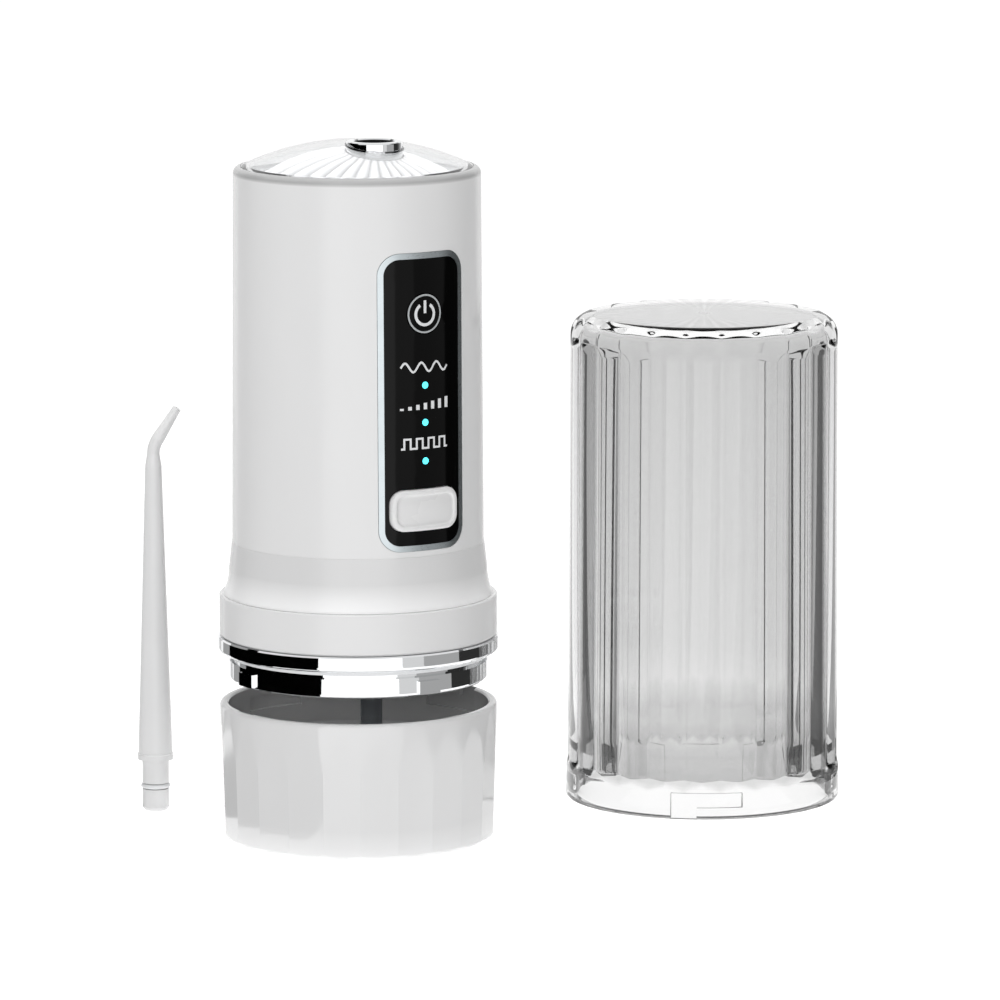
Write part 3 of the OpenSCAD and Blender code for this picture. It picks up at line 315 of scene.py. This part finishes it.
def circuit_mask(name):
    """Green solder mask with faint copper tracks."""
    mat = material(name, (0.02, 0.16, 0.07), 0.35)
    tree = mat.node_tree
    coords = tree.nodes.new("ShaderNodeTexCoord")
    bricks = tree.nodes.new("ShaderNodeTexBrick")
    bricks.inputs["Scale"].default_value = 260.0
    bricks.inputs["Color1"].default_value = (0.015, 0.15, 0.06, 1)
    bricks.inputs["Color2"].default_value = (0.02, 0.19, 0.08, 1)
    bricks.inputs["Mortar"].default_value = (0.05, 0.3, 0.12, 1)
    bricks.inputs["Mortar Size"].default_value = 0.03
    turn = tree.nodes.new("ShaderNodeMapping")
    turn.inputs["Rotation"].default_value = (math.pi / 2, 0, 0)
    tree.links.new(coords.outputs["Object"], turn.inputs["Vector"])
    tree.links.new(turn.outputs["Vector"], bricks.inputs["Vector"])
    tree.links.new(bricks.outputs["Color"], tree.nodes["Principled BSDF"].inputs["Base Color"])
    return mat


MATERIALS = {
    "white_gloss": moulded("white_gloss", (0.74, 0.74, 0.742), 0.22),
    "button_white": moulded("button_white", (0.74, 0.74, 0.742), 0.28),
    "insert_white": moulded("insert_white", (0.62, 0.62, 0.63), 0.16),
    "chrome_plate": material("chrome_plate", (0.86, 0.87, 0.88), 0.03, 1.0),
    "clear_plastic": clear_plastic("clear_plastic", (1.0, 1.0, 1.0), 0.008),
    "panel_black": moulded("panel_black", (0.0015, 0.0015, 0.0015), 0.09, spread=0.03, tint=0.0005,
                           Specular_IOR_Level=0.15),
    "bezel_silver": turned_metal("bezel_silver", (0.55, 0.6, 0.62), 0.3),
    "cyan_lens": lit_lens("cyan_lens", (0.08, 0.75, 0.85), 1.6),
    "socket_black": moulded("socket_black", (0.006, 0.006, 0.007), 0.3, tint=0.002, Specular_IOR_Level=0.08),
    "black_rubber": moulded("black_rubber", (0.025, 0.025, 0.025), 0.7, grain=3000.0, relief=0.00005, tint=0.008),
    "pale_silicone": moulded("pale_silicone", (0.78, 0.79, 0.8), 0.45, grain=2500.0),
    "plug_silicone": moulded("plug_silicone", (0.62, 0.63, 0.64), 0.55, grain=2500.0, relief=0.00004),
    "inner_plastic": moulded("inner_plastic", (0.55, 0.56, 0.57), 0.4),
    "steel": turned_metal("steel", (0.62, 0.62, 0.63), 0.25),
    "brass_parts": turned_metal("brass_parts", (0.72, 0.52, 0.2), 0.25),
    "gear_plastic": moulded("gear_plastic", (0.8, 0.77, 0.68), 0.4),
    "tube_plastic": moulded("tube_plastic", (0.3, 0.32, 0.34), 0.2, Transmission_Weight=0.35),
    "board_green": circuit_mask("board_green"),
    "battery_wrap": moulded("battery_wrap", (0.03, 0.1, 0.4), 0.18, tint=0.02),
    "led_chip": lit_lens("led_chip", (0.6, 0.9, 0.95), 0.6),
}
vary_roughness(MATERIALS["chrome_plate"], noise(MATERIALS["chrome_plate"], 90.0), 0.015, 0.05)

SHELL_WHITE_PAINTED_LIGHT = moulded("shell_white_painted_light", (0.8, 0.8, 0.802), 0.22)
TOP = SHELL_TOP - 1.5 * MM
FOOT, BAND = 52.6 * MM, 58.1 * MM
TAPER = BAND + 5.6 * MM
# Painted light on the shell: lighter over the sweep just above the flange (painted highlight), darker over the flared
# band (painted shade) and much darker on the top rim (painted shade).
tint_along(SHELL_WHITE_PAINTED_LIGHT, FOOT - MM, SHELL_TOP, [
    (FOOT + 0.4 * MM, 1.15), (FOOT + 2.2 * MM, 1.06), (BAND - 0.5 * MM, 0.9), (BAND + 0.3 * MM, 0.84),
    (TAPER - 0.1 * MM, 0.84), (TAPER + 0.2 * MM, 0.93), (TOP - 0.2 * MM, 0.93), (TOP + 0.3 * MM, 0.5)])
CUP_WHITE_PAINTED_LIGHT = moulded("cup_white_painted_light", (0.72, 0.72, 0.722), 0.1, spread=0.03, Specular_IOR_Level=0.85)
# Painted light: the cup is painted up to 1.3 times lighter towards its foot, standing in for light thrown up from the
# floor.
tint_along(CUP_WHITE_PAINTED_LIGHT, 0, CUP_H, [(0.4 * MM, 1.3), (3.5 * MM, 1.12), (7 * MM, 1.0)])
FLUTES = 28
INSERT_PAINTED_SHADE = moulded("sunburst_painted_shade", (0.72, 0.72, 0.73), 0.16)
# Painted shade: the sunburst is painted darker towards the seams between its flutes, standing in for the flutes'
# shading.
FLUTE_TURNS = reckon(INSERT_PAINTED_SHADE.node_tree, "MULTIPLY",
                     height_and_angle(INSERT_PAINTED_SHADE.node_tree, 0, TURRET_Y)[1], FLUTES / (2 * math.pi))
tint_along(INSERT_PAINTED_SHADE, 0, 0.5, [(0.02, 0.55), (0.22, 0.86), (0.4, 1.0)],
               reckon(INSERT_PAINTED_SHADE.node_tree, "PINGPONG", FLUTE_TURNS, 0.5))
LENS_CLEAR = clear_plastic("lens_clear", (0.98, 0.985, 0.99), 0.005)
PRINT = moulded("panel_print", (0.72, 0.73, 0.74), 0.45, tint=0.02)
RING_PRINT = moulded("ring_print", (0.42, 0.44, 0.45), 0.4, tint=0.02)

CAP_CHROME_PAINTED_SHADE = material("cap_chrome_painted_shade", (0.86, 0.87, 0.88), 0.03, 1.0)
vary_roughness(CAP_CHROME_PAINTED_SHADE, noise(CAP_CHROME_PAINTED_SHADE, 90.0), 0.015, 0.05)
# Painted shade: the cap's chrome is painted nearly black within 4.3 mm of the turret's axis, standing in for the
# shaded bore.
tint_inside(CAP_CHROME_PAINTED_SHADE, 0, TURRET_Y, 4.3 * MM, 0.015)
OWN_LOOKS = {"main_shell": SHELL_WHITE_PAINTED_LIGHT, "turret_cap": CAP_CHROME_PAINTED_SHADE}

for row in frame["record"]["subparts"]:
    node = NODES[row["node"]]
    node.data.materials.clear()
    node.data.materials.append(OWN_LOOKS.get(row["node"]) or MATERIALS[row["material_slot"]])
    shade(node, 35)


# ---------------------------------------------------------------- base cup

GROOVE_COUNT = 4
GROOVE_HALF = 2.7 * MM
GROOVE_TOP = 2.3 * MM
GROOVE_LOW = 5.45 * MM
GROOVE_TURN = math.radians(20)
MOUTH_R = 27.2 * MM
SLOT_R = 28.1 * MM
STEP = 0.01 * MM


def in_groove(angle, depth, turn=PANEL_ANGLE):
    """Whether a point of the mouth's wall, this far in from the rim, lies in a bayonet groove."""
    quarter = 2 * math.pi / GROOVE_COUNT
    a = (angle - turn + quarter / 2) % quarter - quarter / 2
    half = math.asin(GROOVE_HALF / MOUTH_R)
    if abs(a) <= half and depth <= GROOVE_LOW:
        return True
    return -half <= a <= GROOVE_TURN + half and GROOVE_TOP <= depth <= GROOVE_LOW


def groove_angles(turn=PANEL_ANGLE):
    """Angles just inside and just outside each side of the grooves."""
    half = math.asin(GROOVE_HALF / MOUTH_R)
    step = STEP / MOUTH_R
    found = []
    for i in range(GROOVE_COUNT):
        base = turn + 2 * math.pi * i / GROOVE_COUNT
        for side in (-half, half, GROOVE_TURN + half):
            found += [base + side - step, base + side + step]
    return found


def wall_angles(per_facet, turn=PANEL_ANGLE):
    """Even angles, with the grooves' sides added and near doubles left out."""
    full = 2 * math.pi
    edges = sorted(a % full for a in groove_angles(turn))
    even = [a % full for a in even_angles(FACETS * per_facet, turn)]
    gap = 0.15 * full / (FACETS * per_facet)
    kept = [a for a in even if all(abs((a - e + math.pi) % full - math.pi) > gap for e in edges)]
    return sorted(edges + kept)


def groove_depths():
    return [GROOVE_TOP - STEP, GROOVE_TOP + STEP, GROOVE_LOW - STEP, GROOVE_LOW + STEP]


def build_cup():
    edge, lean, drop = 4.0 * MM, 0.82 * MM, 1.2 * MM
    lip, floor_t, inner_r = 0.9 * MM, 1.9 * MM, MOUTH_R - 0.8 * MM
    facet_z = CUP_H - drop
    outer = arc_points(CUP_R - edge, edge, edge, -90, 0, 14)
    outer += [(CUP_R, z * MM) for z in (6, 9, 12, 15, 17, 18.5, 20, 21, 22, 23, 24, 25, 26, 26.8, 27.5, 28.1, 28.5)]
    outer += arc_points(CUP_R - lip, CUP_H - lip, lip, 0, 90, 8)
    wall_in = [(MOUTH_R + 0.35 * MM, CUP_H - 0.08 * MM), (MOUTH_R, CUP_H - 0.4 * MM)]
    wall_in += [(MOUTH_R, CUP_H - d) for d in groove_depths()]
    wall_in += [(MOUTH_R, CUP_H - 9.6 * MM), (inner_r, CUP_H - 10.2 * MM), (inner_r, floor_t + 3.2 * MM)]
    wall_in += arc_points(inner_r - 3 * MM, floor_t + 3 * MM, 3 * MM, 0, -90, 8)
    wall_in += [(14 * MM, floor_t), (5 * MM, floor_t), (0.5 * MM, floor_t)]
    outer_count = len(outer)

    def radius(r, z, a, index):
        if index < outer_count:
            plane = CUP_R - lean * (facet_z - z) / facet_z
            return min(r, max(plane, 0) / math.cos(facet_offset(a)))
        if in_groove(a, CUP_H - z) and abs(r - MOUTH_R) < 0.5 * MM:
            return SLOT_R
        return r

    angles = wall_angles(12)
    rings = lathe_rings([(0.5 * MM, 0), (12 * MM, 0)] + outer + wall_in, angles,
                        lambda r, z, a, i: r if i < 2 else radius(r, z, a, i - 2))
    verts, faces = skin_rings(rings, cap_start=True, cap_end=True)
    return new_piece("base_cup_shell", verts, faces, "base_cup", CUP_WHITE_PAINTED_LIGHT,
                     ["base_cup"], smooth=9)


# ---------------------------------------------------------------- clear cover

def soften_corner(mat, z):
    """Lower the refraction towards the top edge, which otherwise traps light and shows as a black band."""
    tree = mat.node_tree
    span = tree.nodes.new("ShaderNodeMapRange")
    span.inputs["From Min"].default_value = COVER_H - 7.2 * MM
    span.inputs["From Max"].default_value = COVER_H - 5.2 * MM
    span.inputs["To Min"].default_value = 1.49
    span.inputs["To Max"].default_value = 1.08
    tree.links.new(z, span.inputs["Value"])
    tree.links.new(span.outputs["Result"], tree.nodes["Principled BSDF"].inputs["IOR"])


def paint_cover_shade(mat):
    """Painted shade on the cover: clear at the rim and top, greyed between, the grey ending in a scalloped line round
    the foot, with a thin dark line just under the top edge.
    """
    tree = mat.node_tree
    z, angle = height_and_angle(tree, *COVER_AT)
    turns = reckon(tree, "MULTIPLY", reckon(tree, "ADD", angle, math.radians(133)), 1 / FACET_PITCH)
    lobe = reckon(tree, "PINGPONG", turns, 0.5)
    height = reckon(tree, "SUBTRACT", z, reckon(tree, "MULTIPLY", lobe, 2.4 * MM))
    tint_along(mat, 0, COVER_H, [
        (5.6 * MM, 0.72), (6.4 * MM, 0.56), (14 * MM, 0.6), (20 * MM, 0.8), (28 * MM, 0.74),
        (99 * MM, 0.72), (103.3 * MM, 0.85), (104.1 * MM, 0.85), (104.3 * MM, 0.45), (104.5 * MM, 0.45),
        (104.7 * MM, 0.88)], height)
    soften_corner(mat, z)


def build_cover():
    turn = math.radians(-90 - 43)
    rim_r, foot_r, top_r = COVER_RIM_R, 29.2 * MM, 28.8 * MM
    depth, corner, wall_top = 0.85 * MM, 4.6 * MM, 2.5 * MM
    band_z, blend_z = 6.5 * MM, 8.4 * MM
    bore_r, mouth_h = 26.9 * MM, 8.0 * MM
    centre_r = (top_r ** 2 - (top_r - depth) ** 2) / (2 * (top_r - (top_r - depth) * math.cos(FACET_PITCH / 2)))
    lobe = top_r - centre_r

    def lobe_drop(a):
        """How far the lobed outline lies inside its peaks, from 0 to 1."""
        d = facet_offset(a, turn)
        r = centre_r * math.cos(d) + math.sqrt(lobe ** 2 - (centre_r * math.sin(d)) ** 2)
        return (top_r - r) / depth

    def side_r(z):
        if z <= band_z:
            return rim_r - 0.15 * MM * z / band_z
        t = smoothstep((z - band_z) / (blend_z - band_z))
        slope = foot_r + (top_r - foot_r) * (z - band_z) / (COVER_H - band_z)
        return (rim_r - 0.15 * MM) * (1 - t) + slope * t

    side_zs = [0.35, 1, 3, 5.5, 6.3] + [6.5 + 0.19 * i for i in range(0, 11)] + [9, 11, 18, 30, 45, 60, 75, 88, 96]
    outer = [(rim_r - 0.3 * MM, 0.0)] + [(side_r(z * MM), z * MM) for z in side_zs]
    corner_z = COVER_H - corner
    outer += arc_points(top_r - corner, corner_z, corner, 0, 90, 16)
    outer += [((top_r - corner) * t, COVER_H) for t in (0.85, 0.6, 0.35)]
    gate = [(2 * MM, COVER_H), (1.3 * MM, COVER_H), (1.25 * MM, COVER_H - 0.25 * MM), (0.5 * MM, COVER_H - 0.25 * MM)]
    outer_count = len(outer)
    inner = [(0.5 * MM, COVER_H - wall_top), (12 * MM, COVER_H - wall_top), (20 * MM, COVER_H - wall_top)]
    inner += list(reversed(arc_points(bore_r - 3.2 * MM, COVER_H - wall_top - 3.2 * MM, 3.2 * MM, 0, 90, 12)))
    inner += [(bore_r, z * MM) for z in (90, 70, 50, 30, 15)]
    inner += [(bore_r, mouth_h + 0.5 * MM), (MOUTH_R, mouth_h)]
    inner += [(MOUTH_R, d) for d in reversed(groove_depths())]
    inner += [(MOUTH_R, 0.4 * MM), (MOUTH_R + 0.3 * MM, 0.0)]
    profile = outer + gate + inner

    def radius(r, z, a, index):
        if index < outer_count:
            fade = smoothstep((z - band_z) / (blend_z - band_z))
            fade *= 1 - smoothstep((z - corner_z - 0.45 * corner) / (0.55 * corner))
            return r - depth * lobe_drop(a) * fade
        if in_groove(a, z, turn) and abs(r - MOUTH_R) < 0.35 * MM and z < mouth_h:
            return SLOT_R
        return r

    rings = lathe_rings(profile, wall_angles(16, turn), radius, COVER_AT)
    gate_end = outer_count + len(gate)
    top, top_faces = skin_rings(rings[:gate_end], cap_end=True)
    low, low_faces = skin_rings(rings[gate_end:], cap_start=True)
    n = len(rings[0])
    faces = top_faces + [tuple(i + len(top) for i in f) for f in low_faces]
    last = (len(rings) - 1) * n
    faces += [(last + i, last + (i + 1) % n, (i + 1) % n, i) for i in range(n)]
    return new_piece("clear_cover_shell", top + low, faces, "clear_cover", MATERIALS["clear_plastic"],
                     ["clear_cover"], smooth=50)


# ---------------------------------------------------------------- top: lens and sunburst insert

def rim_distance(angle, rim_r):
    """Distance from the turret's axis to a circle of radius rim_r round the handle's axis."""
    along = -TURRET_Y * math.sin(angle)
    return along + math.sqrt(along ** 2 - TURRET_Y ** 2 + rim_r ** 2)


def turret_ring(share, angles, hole_r, rim_r, height):
    """Ring between the turret's hole (share 0) and the rim (share 1), lifted to height(x, y)."""
    ring = []
    for a in angles:
        d = hole_r + (rim_distance(a, rim_r) - hole_r) * share
        x, y = d * math.cos(a), TURRET_Y + d * math.sin(a)
        ring.append((x, y, height(x, y, share, a)))
    return ring


def dome_height(base_r, rise, top_z):
    """Height of a spherical dome with this base radius and rise."""
    ball_r = (base_r ** 2 + rise ** 2) / (2 * rise)
    return lambda x, y, extra=0.0: top_z - ball_r + math.sqrt((ball_r - extra) ** 2 - x * x - y * y)


def build_lens():
    wall, skirt = 1.1 * MM, 1.5 * MM
    rise = LENS_HIGH.z - SHELL_TOP
    dome = dome_height(LENS_R, rise, LENS_HIGH.z)
    hole_r = CAP_R + 0.2 * MM
    angles = even_angles(180)
    shares = [0, 0.02, 0.1, 0.2, 0.3, 0.4, 0.5, 0.6, 0.7, 0.8, 0.88, 0.94, 0.98, 1.0]
    outer = [turret_ring(s, angles, hole_r, LENS_R, lambda x, y, s_, a: dome(x, y)) for s in shares]
    low = [turret_ring(1.0, angles, hole_r, r, lambda x, y, s_, a: LENS_LOW.z) for r in (LENS_R, LENS_R - skirt)]
    inner = [turret_ring(s, angles, hole_r, LENS_R - skirt, lambda x, y, s_, a: dome(x, y, wall))
             for s in reversed(shares)]
    verts, faces = skin_rings((outer + low + inner)[::-1], loop=True)
    return new_piece("top_lens_shell", verts, faces, "handle", LENS_CLEAR,
                     ["top_lens"], smooth=40)


def build_insert():
    wall, base_r, rise = 1.2 * MM, 20.5 * MM, 6.1 * MM
    base_z = LENS_LOW.z + 1.0 * MM
    flute_depth = 1.0 * MM
    dome = dome_height(base_r, rise, base_z + rise)
    hole_r = CAP_R + 0.2 * MM
    angles = even_angles(FLUTES * 14)
    shares = [0, 0.03, 0.08, 0.15, 0.25, 0.35, 0.45, 0.55, 0.65, 0.75, 0.84, 0.9, 0.95, 0.98, 1.0]

    def fluted(x, y, share, a):
        u = (a * FLUTES / (2 * math.pi)) % 1.0
        groove = 1 - abs(math.sin(math.pi * u))
        ramp = smoothstep(share / 0.12) * (1 - smoothstep((share - 0.93) / 0.07))
        return dome(x, y) - flute_depth * groove * ramp * (0.35 + 0.65 * share)

    outer = [turret_ring(s, angles, hole_r, base_r, fluted) for s in shares]
    flange_r = LENS_R - 1.65 * MM
    low = [turret_ring(1.0, angles, hole_r, r, lambda x, y, s_, a, z=z: z)
           for r, z in ((base_r + 0.25 * MM, base_z - 0.05 * MM), (flange_r, base_z - 0.1 * MM),
                        (flange_r, LENS_LOW.z), (base_r - wall, LENS_LOW.z))]
    inner = [turret_ring(s, angles, hole_r, base_r - wall, lambda x, y, s_, a: dome(x, y, wall))
             for s in reversed(shares)]
    verts, faces = skin_rings((outer + low + inner)[::-1], loop=True)
    return new_piece("sunburst_dome", verts, faces, "handle", INSERT_PAINTED_SHADE,
                     ["sunburst_insert"], smooth=25)


# ---------------------------------------------------------------- panel

def taper_r(z):
    """Outer radius of the shell's taper at height z."""
    low_z, top_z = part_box("panel_bezel")[0].z - 1.3 * MM, SHELL_TOP - 1.5 * MM
    return 26.3 * MM + (25.75 - 26.3) * MM * (z - low_z) / (top_z - low_z)


def on_panel(x, z, proud):
    """Point of the panel's surface, standing this far out of it."""
    r = taper_r(z) + proud
    return (x, -math.sqrt(r * r - x * x), z)


def rounded_ring(hw, hh, corner, per_corner=10, per_side=8):
    """Points (x, z) round a rounded rectangle centred on the origin."""
    corner = max(min(corner, hw - 1e-6, hh - 1e-6), 1e-6)
    corners = [(hw - corner, hh - corner, 0), (corner - hw, hh - corner, 90),
               (corner - hw, corner - hh, 180), (hw - corner, corner - hh, 270)]
    points = []
    for i, (cx, cz, a0) in enumerate(corners):
        points += arc_points(cx, cz, corner, a0, a0 + 90, per_corner)
        nx, nz, na = corners[(i + 1) % 4]
        end = arc_points(nx, nz, corner, na, na, 1)[0]
        sx, sz = points[-1]
        points += [(sx + (end[0] - sx) * k / per_side, sz + (end[1] - sz) * k / per_side) for k in range(1, per_side)]
    return points


def build_button():
    flange = 0.5 * MM
    hw, hh = BUTTON_HIGH.x - flange, (BUTTON_HIGH.z - BUTTON_LOW.z) / 2 - flange
    mid_z = (BUTTON_LOW.z + BUTTON_HIGH.z) / 2
    corner, top = 2.9 * MM, 0.9 * MM
    steps = [(0, -0.9), (0, 0.35), (0.06, 0.6), (0.2, 0.79), (0.42, 0.88), (0.75, 0.9), (1.0, 0.86), (1.12, 0.72),
             (1.2, 0.5), (1.35, 0.42), (1.7, 0.4), (2.6, 0.42)]
    rings = []
    for inset, height in steps:
        points = rounded_ring(hw - inset * MM, hh - inset * MM, corner - inset * MM * 0.9)
        rings.append([on_panel(x, mid_z + z, height / 0.9 * top) for x, z in points])
    inner = rounded_ring(hw - 2.6 * MM, hh - 2.6 * MM, corner - 2.3 * MM)
    for share in (0.75, 0.5, 0.25, 0.08):
        rings.append([on_panel(x * share, mid_z + z * share, (0.42 + 0.06 * (1 - share)) * MM) for x, z in inner])
    verts, faces = skin_rings(rings, cap_start=True, cap_end=True)
    return new_piece("mode_button_cap", verts, faces, "mode_button", MATERIALS["button_white"],
                     ["mode_button"], smooth=50)


def ribbon(name, points, width, body, mat, closed=False, proud=0.03 * MM):
    """A raised print line of this width on the panel, along (x, z) points."""
    n = len(points)
    left, right = [], []
    for i, p in enumerate(points):
        before = points[i - 1] if (closed or i > 0) else p
        after = points[(i + 1) % n] if (closed or i < n - 1) else p
        d1 = Vector((p[0] - before[0], p[1] - before[1]))
        d2 = Vector((after[0] - p[0], after[1] - p[1]))
        d1 = d1.normalized() if d1.length > 0 else d2.normalized()
        d2 = d2.normalized() if d2.length > 0 else d1
        mid = (d1 + d2).normalized()
        side = Vector((-mid.y, mid.x))
        reach = width / 2 / max(side.dot(Vector((-d1.y, d1.x))), 0.35)
        left.append((p[0] + side.x * reach, p[1] + side.y * reach))
        right.append((p[0] - side.x * reach, p[1] - side.y * reach))
    low = -0.15 * MM
    rings = [[on_panel(*left[i], proud), on_panel(*right[i], proud), on_panel(*right[i], low),
              on_panel(*left[i], low)] for i in range(n)]
    verts, faces = skin_rings(rings, loop=closed, cap_start=not closed, cap_end=not closed)
    return new_piece(name, verts, faces, body, mat, smooth=30)


def circle_points(cx, cz, r, n=48):
    return [(cx + r * math.cos(a), cz + r * math.sin(a)) for a in even_angles(n)]


def build_prints():
    """Generic marks: the power symbol on its key, and one waveform for each mode."""
    on_key = 0.08 * MM
    ribbon("power_ring", circle_points(0, KEY_Z, 3.85 * MM, 72), 0.36 * MM, "power_key", RING_PRINT,
           closed=True, proud=on_key)
    gap = 32
    ribbon("power_arc", arc_points(0, KEY_Z - 0.1 * MM, 2.2 * MM, 90 + gap, 450 - gap, 40), 0.62 * MM, "power_key",
           PRINT, proud=on_key)
    ribbon("power_bar", [(0, KEY_Z + 0.1 * MM), (0, KEY_Z + 1.6 * MM), (0, KEY_Z + 2.75 * MM)], 0.62 * MM,
           "power_key", PRINT, proud=on_key)
    half, line = 5.6 * MM, 0.42 * MM
    rows = [KEY_Z - 11.0 * MM, KEY_Z - 18.6 * MM, KEY_Z - 26.8 * MM]
    steady = [(-half + 2 * half * i / 60, rows[0] + 0.95 * MM * math.sin(2 * math.pi * 3 * i / 60)) for i in range(61)]
    ribbon("mode_mark_steady", steady, line, "handle", PRINT)
    for i in range(7):
        x = -half + line / 2 + (2 * half - line) * i / 6
        tall = (0.45 + 0.3 * i) * MM
        ribbon(f"mode_mark_strong_{i}", [(x, rows[1] - 1.2 * MM), (x, rows[1] - 1.2 * MM + tall)], 0.8 * MM, "handle",
               PRINT)
    pulse = [(-half, rows[2] - 1.0 * MM)]
    beat = 2 * half / 4
    for i in range(4):
        x = -half + beat * i
        pulse += [(x + 0.25 * beat, rows[2] - 1.0 * MM), (x + 0.25 * beat, rows[2] + 1.0 * MM),
                  (x + 0.75 * beat, rows[2] + 1.0 * MM), (x + 0.75 * beat, rows[2] - 1.0 * MM)]
    pulse.append((half, rows[2] - 1.0 * MM))
    ribbon("mode_mark_pulse", pulse, line, "handle", PRINT)


# ---------------------------------------------------------------- studio

def area_light(name, place, aim, size, power):
    """A square lamp that isn't seen in reflections; the cards are seen there instead."""
    data = bpy.data.lights.new(name, "AREA")
    data.shape = "RECTANGLE"
    data.size = size
    data.size_y = size
    data.energy = power
    light = bpy.data.objects.new(name, data)
    bpy.context.scene.collection.objects.link(light)
    light.location = place
    light.rotation_euler = (Vector(aim) - Vector(place)).to_track_quat("-Z", "Y").to_euler()
    light.visible_glossy = False


CAMERA_ANGLE = math.radians(-32.2)
CAMERA_DISTANCE = 1.475
CAMERA_HEIGHT = 0.3055
AIM = Vector((0.0251, -0.0158, 0.0719))


def from_camera(angle, distance, height):
    """A point at this angle (degrees, positive to the camera's right) round the object from the camera."""
    a = CAMERA_ANGLE + math.radians(angle)
    return Vector((distance * math.sin(a), -distance * math.cos(a), height))


def build_camera():
    data = bpy.data.cameras.new("camera")
    data.sensor_width = 36.0
    data.lens = 257.4
    camera = bpy.data.objects.new("camera", data)
    bpy.context.scene.collection.objects.link(camera)
    camera.location = from_camera(0, CAMERA_DISTANCE, CAMERA_HEIGHT)
    camera.rotation_euler = (AIM - camera.location).to_track_quat("-Z", "Y").to_euler()
    bpy.context.scene.camera = camera


def stage_card(name, verts, faces, brightness, glossy=True, transmission=False):
    """A card seen only in reflections, or only through clear pieces."""
    mesh = bpy.data.meshes.new(name)
    mesh.from_pydata(verts, [], faces)
    mat = material(name, (0, 0, 0), 1.0, Emission_Strength=brightness, Specular_IOR_Level=0.0)
    mat.node_tree.nodes["Principled BSDF"].inputs["Emission Color"].default_value = (1, 1, 1, 1)
    mesh.materials.append(mat)
    obj = bpy.data.objects.new(name, mesh)
    bpy.context.scene.collection.objects.link(obj)
    obj.visible_camera = False
    obj.visible_diffuse = False
    obj.visible_shadow = False
    obj.visible_glossy = glossy
    obj.visible_transmission = transmission


def sector(angle0, angle1, profile, centre=(0, 0)):
    """A sector swept from a profile of (radius, z) round a centre; angles are to the camera's right."""
    steps = 12
    verts = []
    for i in range(steps + 1):
        a = angle0 + (angle1 - angle0) * i / steps
        for r, z in profile:
            p = from_camera(a, r, z)
            verts.append((p.x + centre[0], p.y + centre[1], z))
    n = len(profile)
    faces = [(n * i + k, n * i + n + k, n * i + n + k + 1, n * i + k + 1) for i in range(steps) for k in range(n - 1)]
    return verts, faces


def build_floor():
    """White paper that glows a little, as a lit table does."""
    size = 12.0
    mesh = bpy.data.meshes.new("floor")
    mesh.from_pydata([(-size, -size, 0), (size, -size, 0), (size, size, 0), (-size, size, 0)], [], [(0, 1, 2, 3)])
    mat = material("floor_paper", (0.25, 0.25, 0.25), 1.0, Emission_Strength=1.0, Specular_IOR_Level=0.0)
    mat.node_tree.nodes["Principled BSDF"].inputs["Emission Color"].default_value = (1, 1, 1, 1)
    mesh.materials.append(mat)
    floor = bpy.data.objects.new("floor", mesh)
    floor.location.z = -0.0002
    bpy.context.scene.collection.objects.link(floor)


def build_world():
    world = bpy.data.worlds.new("studio")
    bpy.context.scene.world = world
    world.use_nodes = True
    world.node_tree.nodes["Background"].inputs["Color"].default_value = (1, 1, 1, 1)
    world.node_tree.nodes["Background"].inputs["Strength"].default_value = 0.12


# Reflected surroundings: angles to the camera's right, inner radius on the floor, and brightness
CARDS = [
    ("flag_left", -126, -31, 0.045, 0.0),
    ("card_front", -31, 34, 0.13, 1.5),
    ("card_right", 34, 52, 0.13, 0.72),
    ("card_side", 52, 86, 0.13, 0.4),
    ("flag_right", 86, 112, 0.13, 0.03),
    ("card_rim_right", 112, 126, 0.13, 0.12),
    ("card_back_right", 126, 142, 0.13, 0.45),
    ("card_back", 142, 219, 0.13, 1.0),
    ("card_rim_left", 219, 234, 0.13, 0.35),
]
# Surroundings seen through the cover: angles away from the view's own direction, and brightness
COVER_CARDS = [("veil_side", 36, 56, 0.5), ("veil_dark", 56, 130, 0.15)]


CARD_REACH, CARD_TOP, CARD_Z = 0.6, 0.6, 0.0005
VEIL_INNER, VEIL_REACH, VEIL_TOP, VEIL_Z = 0.031, 0.5, 0.09, 0.0006
SKY_R, SKY_Z = 0.7, 0.62


def build_studio():
    build_world()
    build_floor()
    centre = (0.03, 0, 0.08)
    area_light("key", from_camera(-20, 1.2, 0.6), centre, 0.8, 6.0)
    area_light("top", (0.03, 0.0, 1.1), centre, 0.7, 11.0)
    for name, angle0, angle1, inner, brightness in CARDS:
        profile = [(inner, CARD_Z), (CARD_REACH, CARD_Z), (CARD_REACH, CARD_TOP)]
        stage_card(name, *sector(angle0, angle1, profile), brightness)
    for name, angle0, angle1, brightness in COVER_CARDS:
        for side in (-1, 1):
            profile = [(VEIL_INNER, VEIL_Z), (VEIL_REACH, VEIL_Z), (VEIL_REACH, VEIL_TOP)]
            shape = sector(180 + side * angle0, 180 + side * angle1, profile, COVER_AT)
            stage_card(f"{name}_{'left' if side > 0 else 'right'}", *shape, brightness, glossy=False,
                       transmission=True)
    stage_card("ceiling", *sector(0, 360, [(0.0, SKY_Z), (SKY_R, SKY_Z)]), 0.85, transmission=True)
    sky = sector(0, 360, [(SKY_R, VEIL_TOP), (SKY_R, SKY_Z)])
    stage_card("sky", *sky, 0.95, glossy=False, transmission=True)


# ---------------------------------------------------------------- build

build_cup()
paint_cover_shade(MATERIALS["clear_plastic"])
build_cover().visible_shadow = False
build_lens().visible_shadow = False
build_insert()
build_button()
build_prints()
build_camera()
build_studio()

scene = bpy.context.scene
scene.view_settings.view_transform = "Standard"
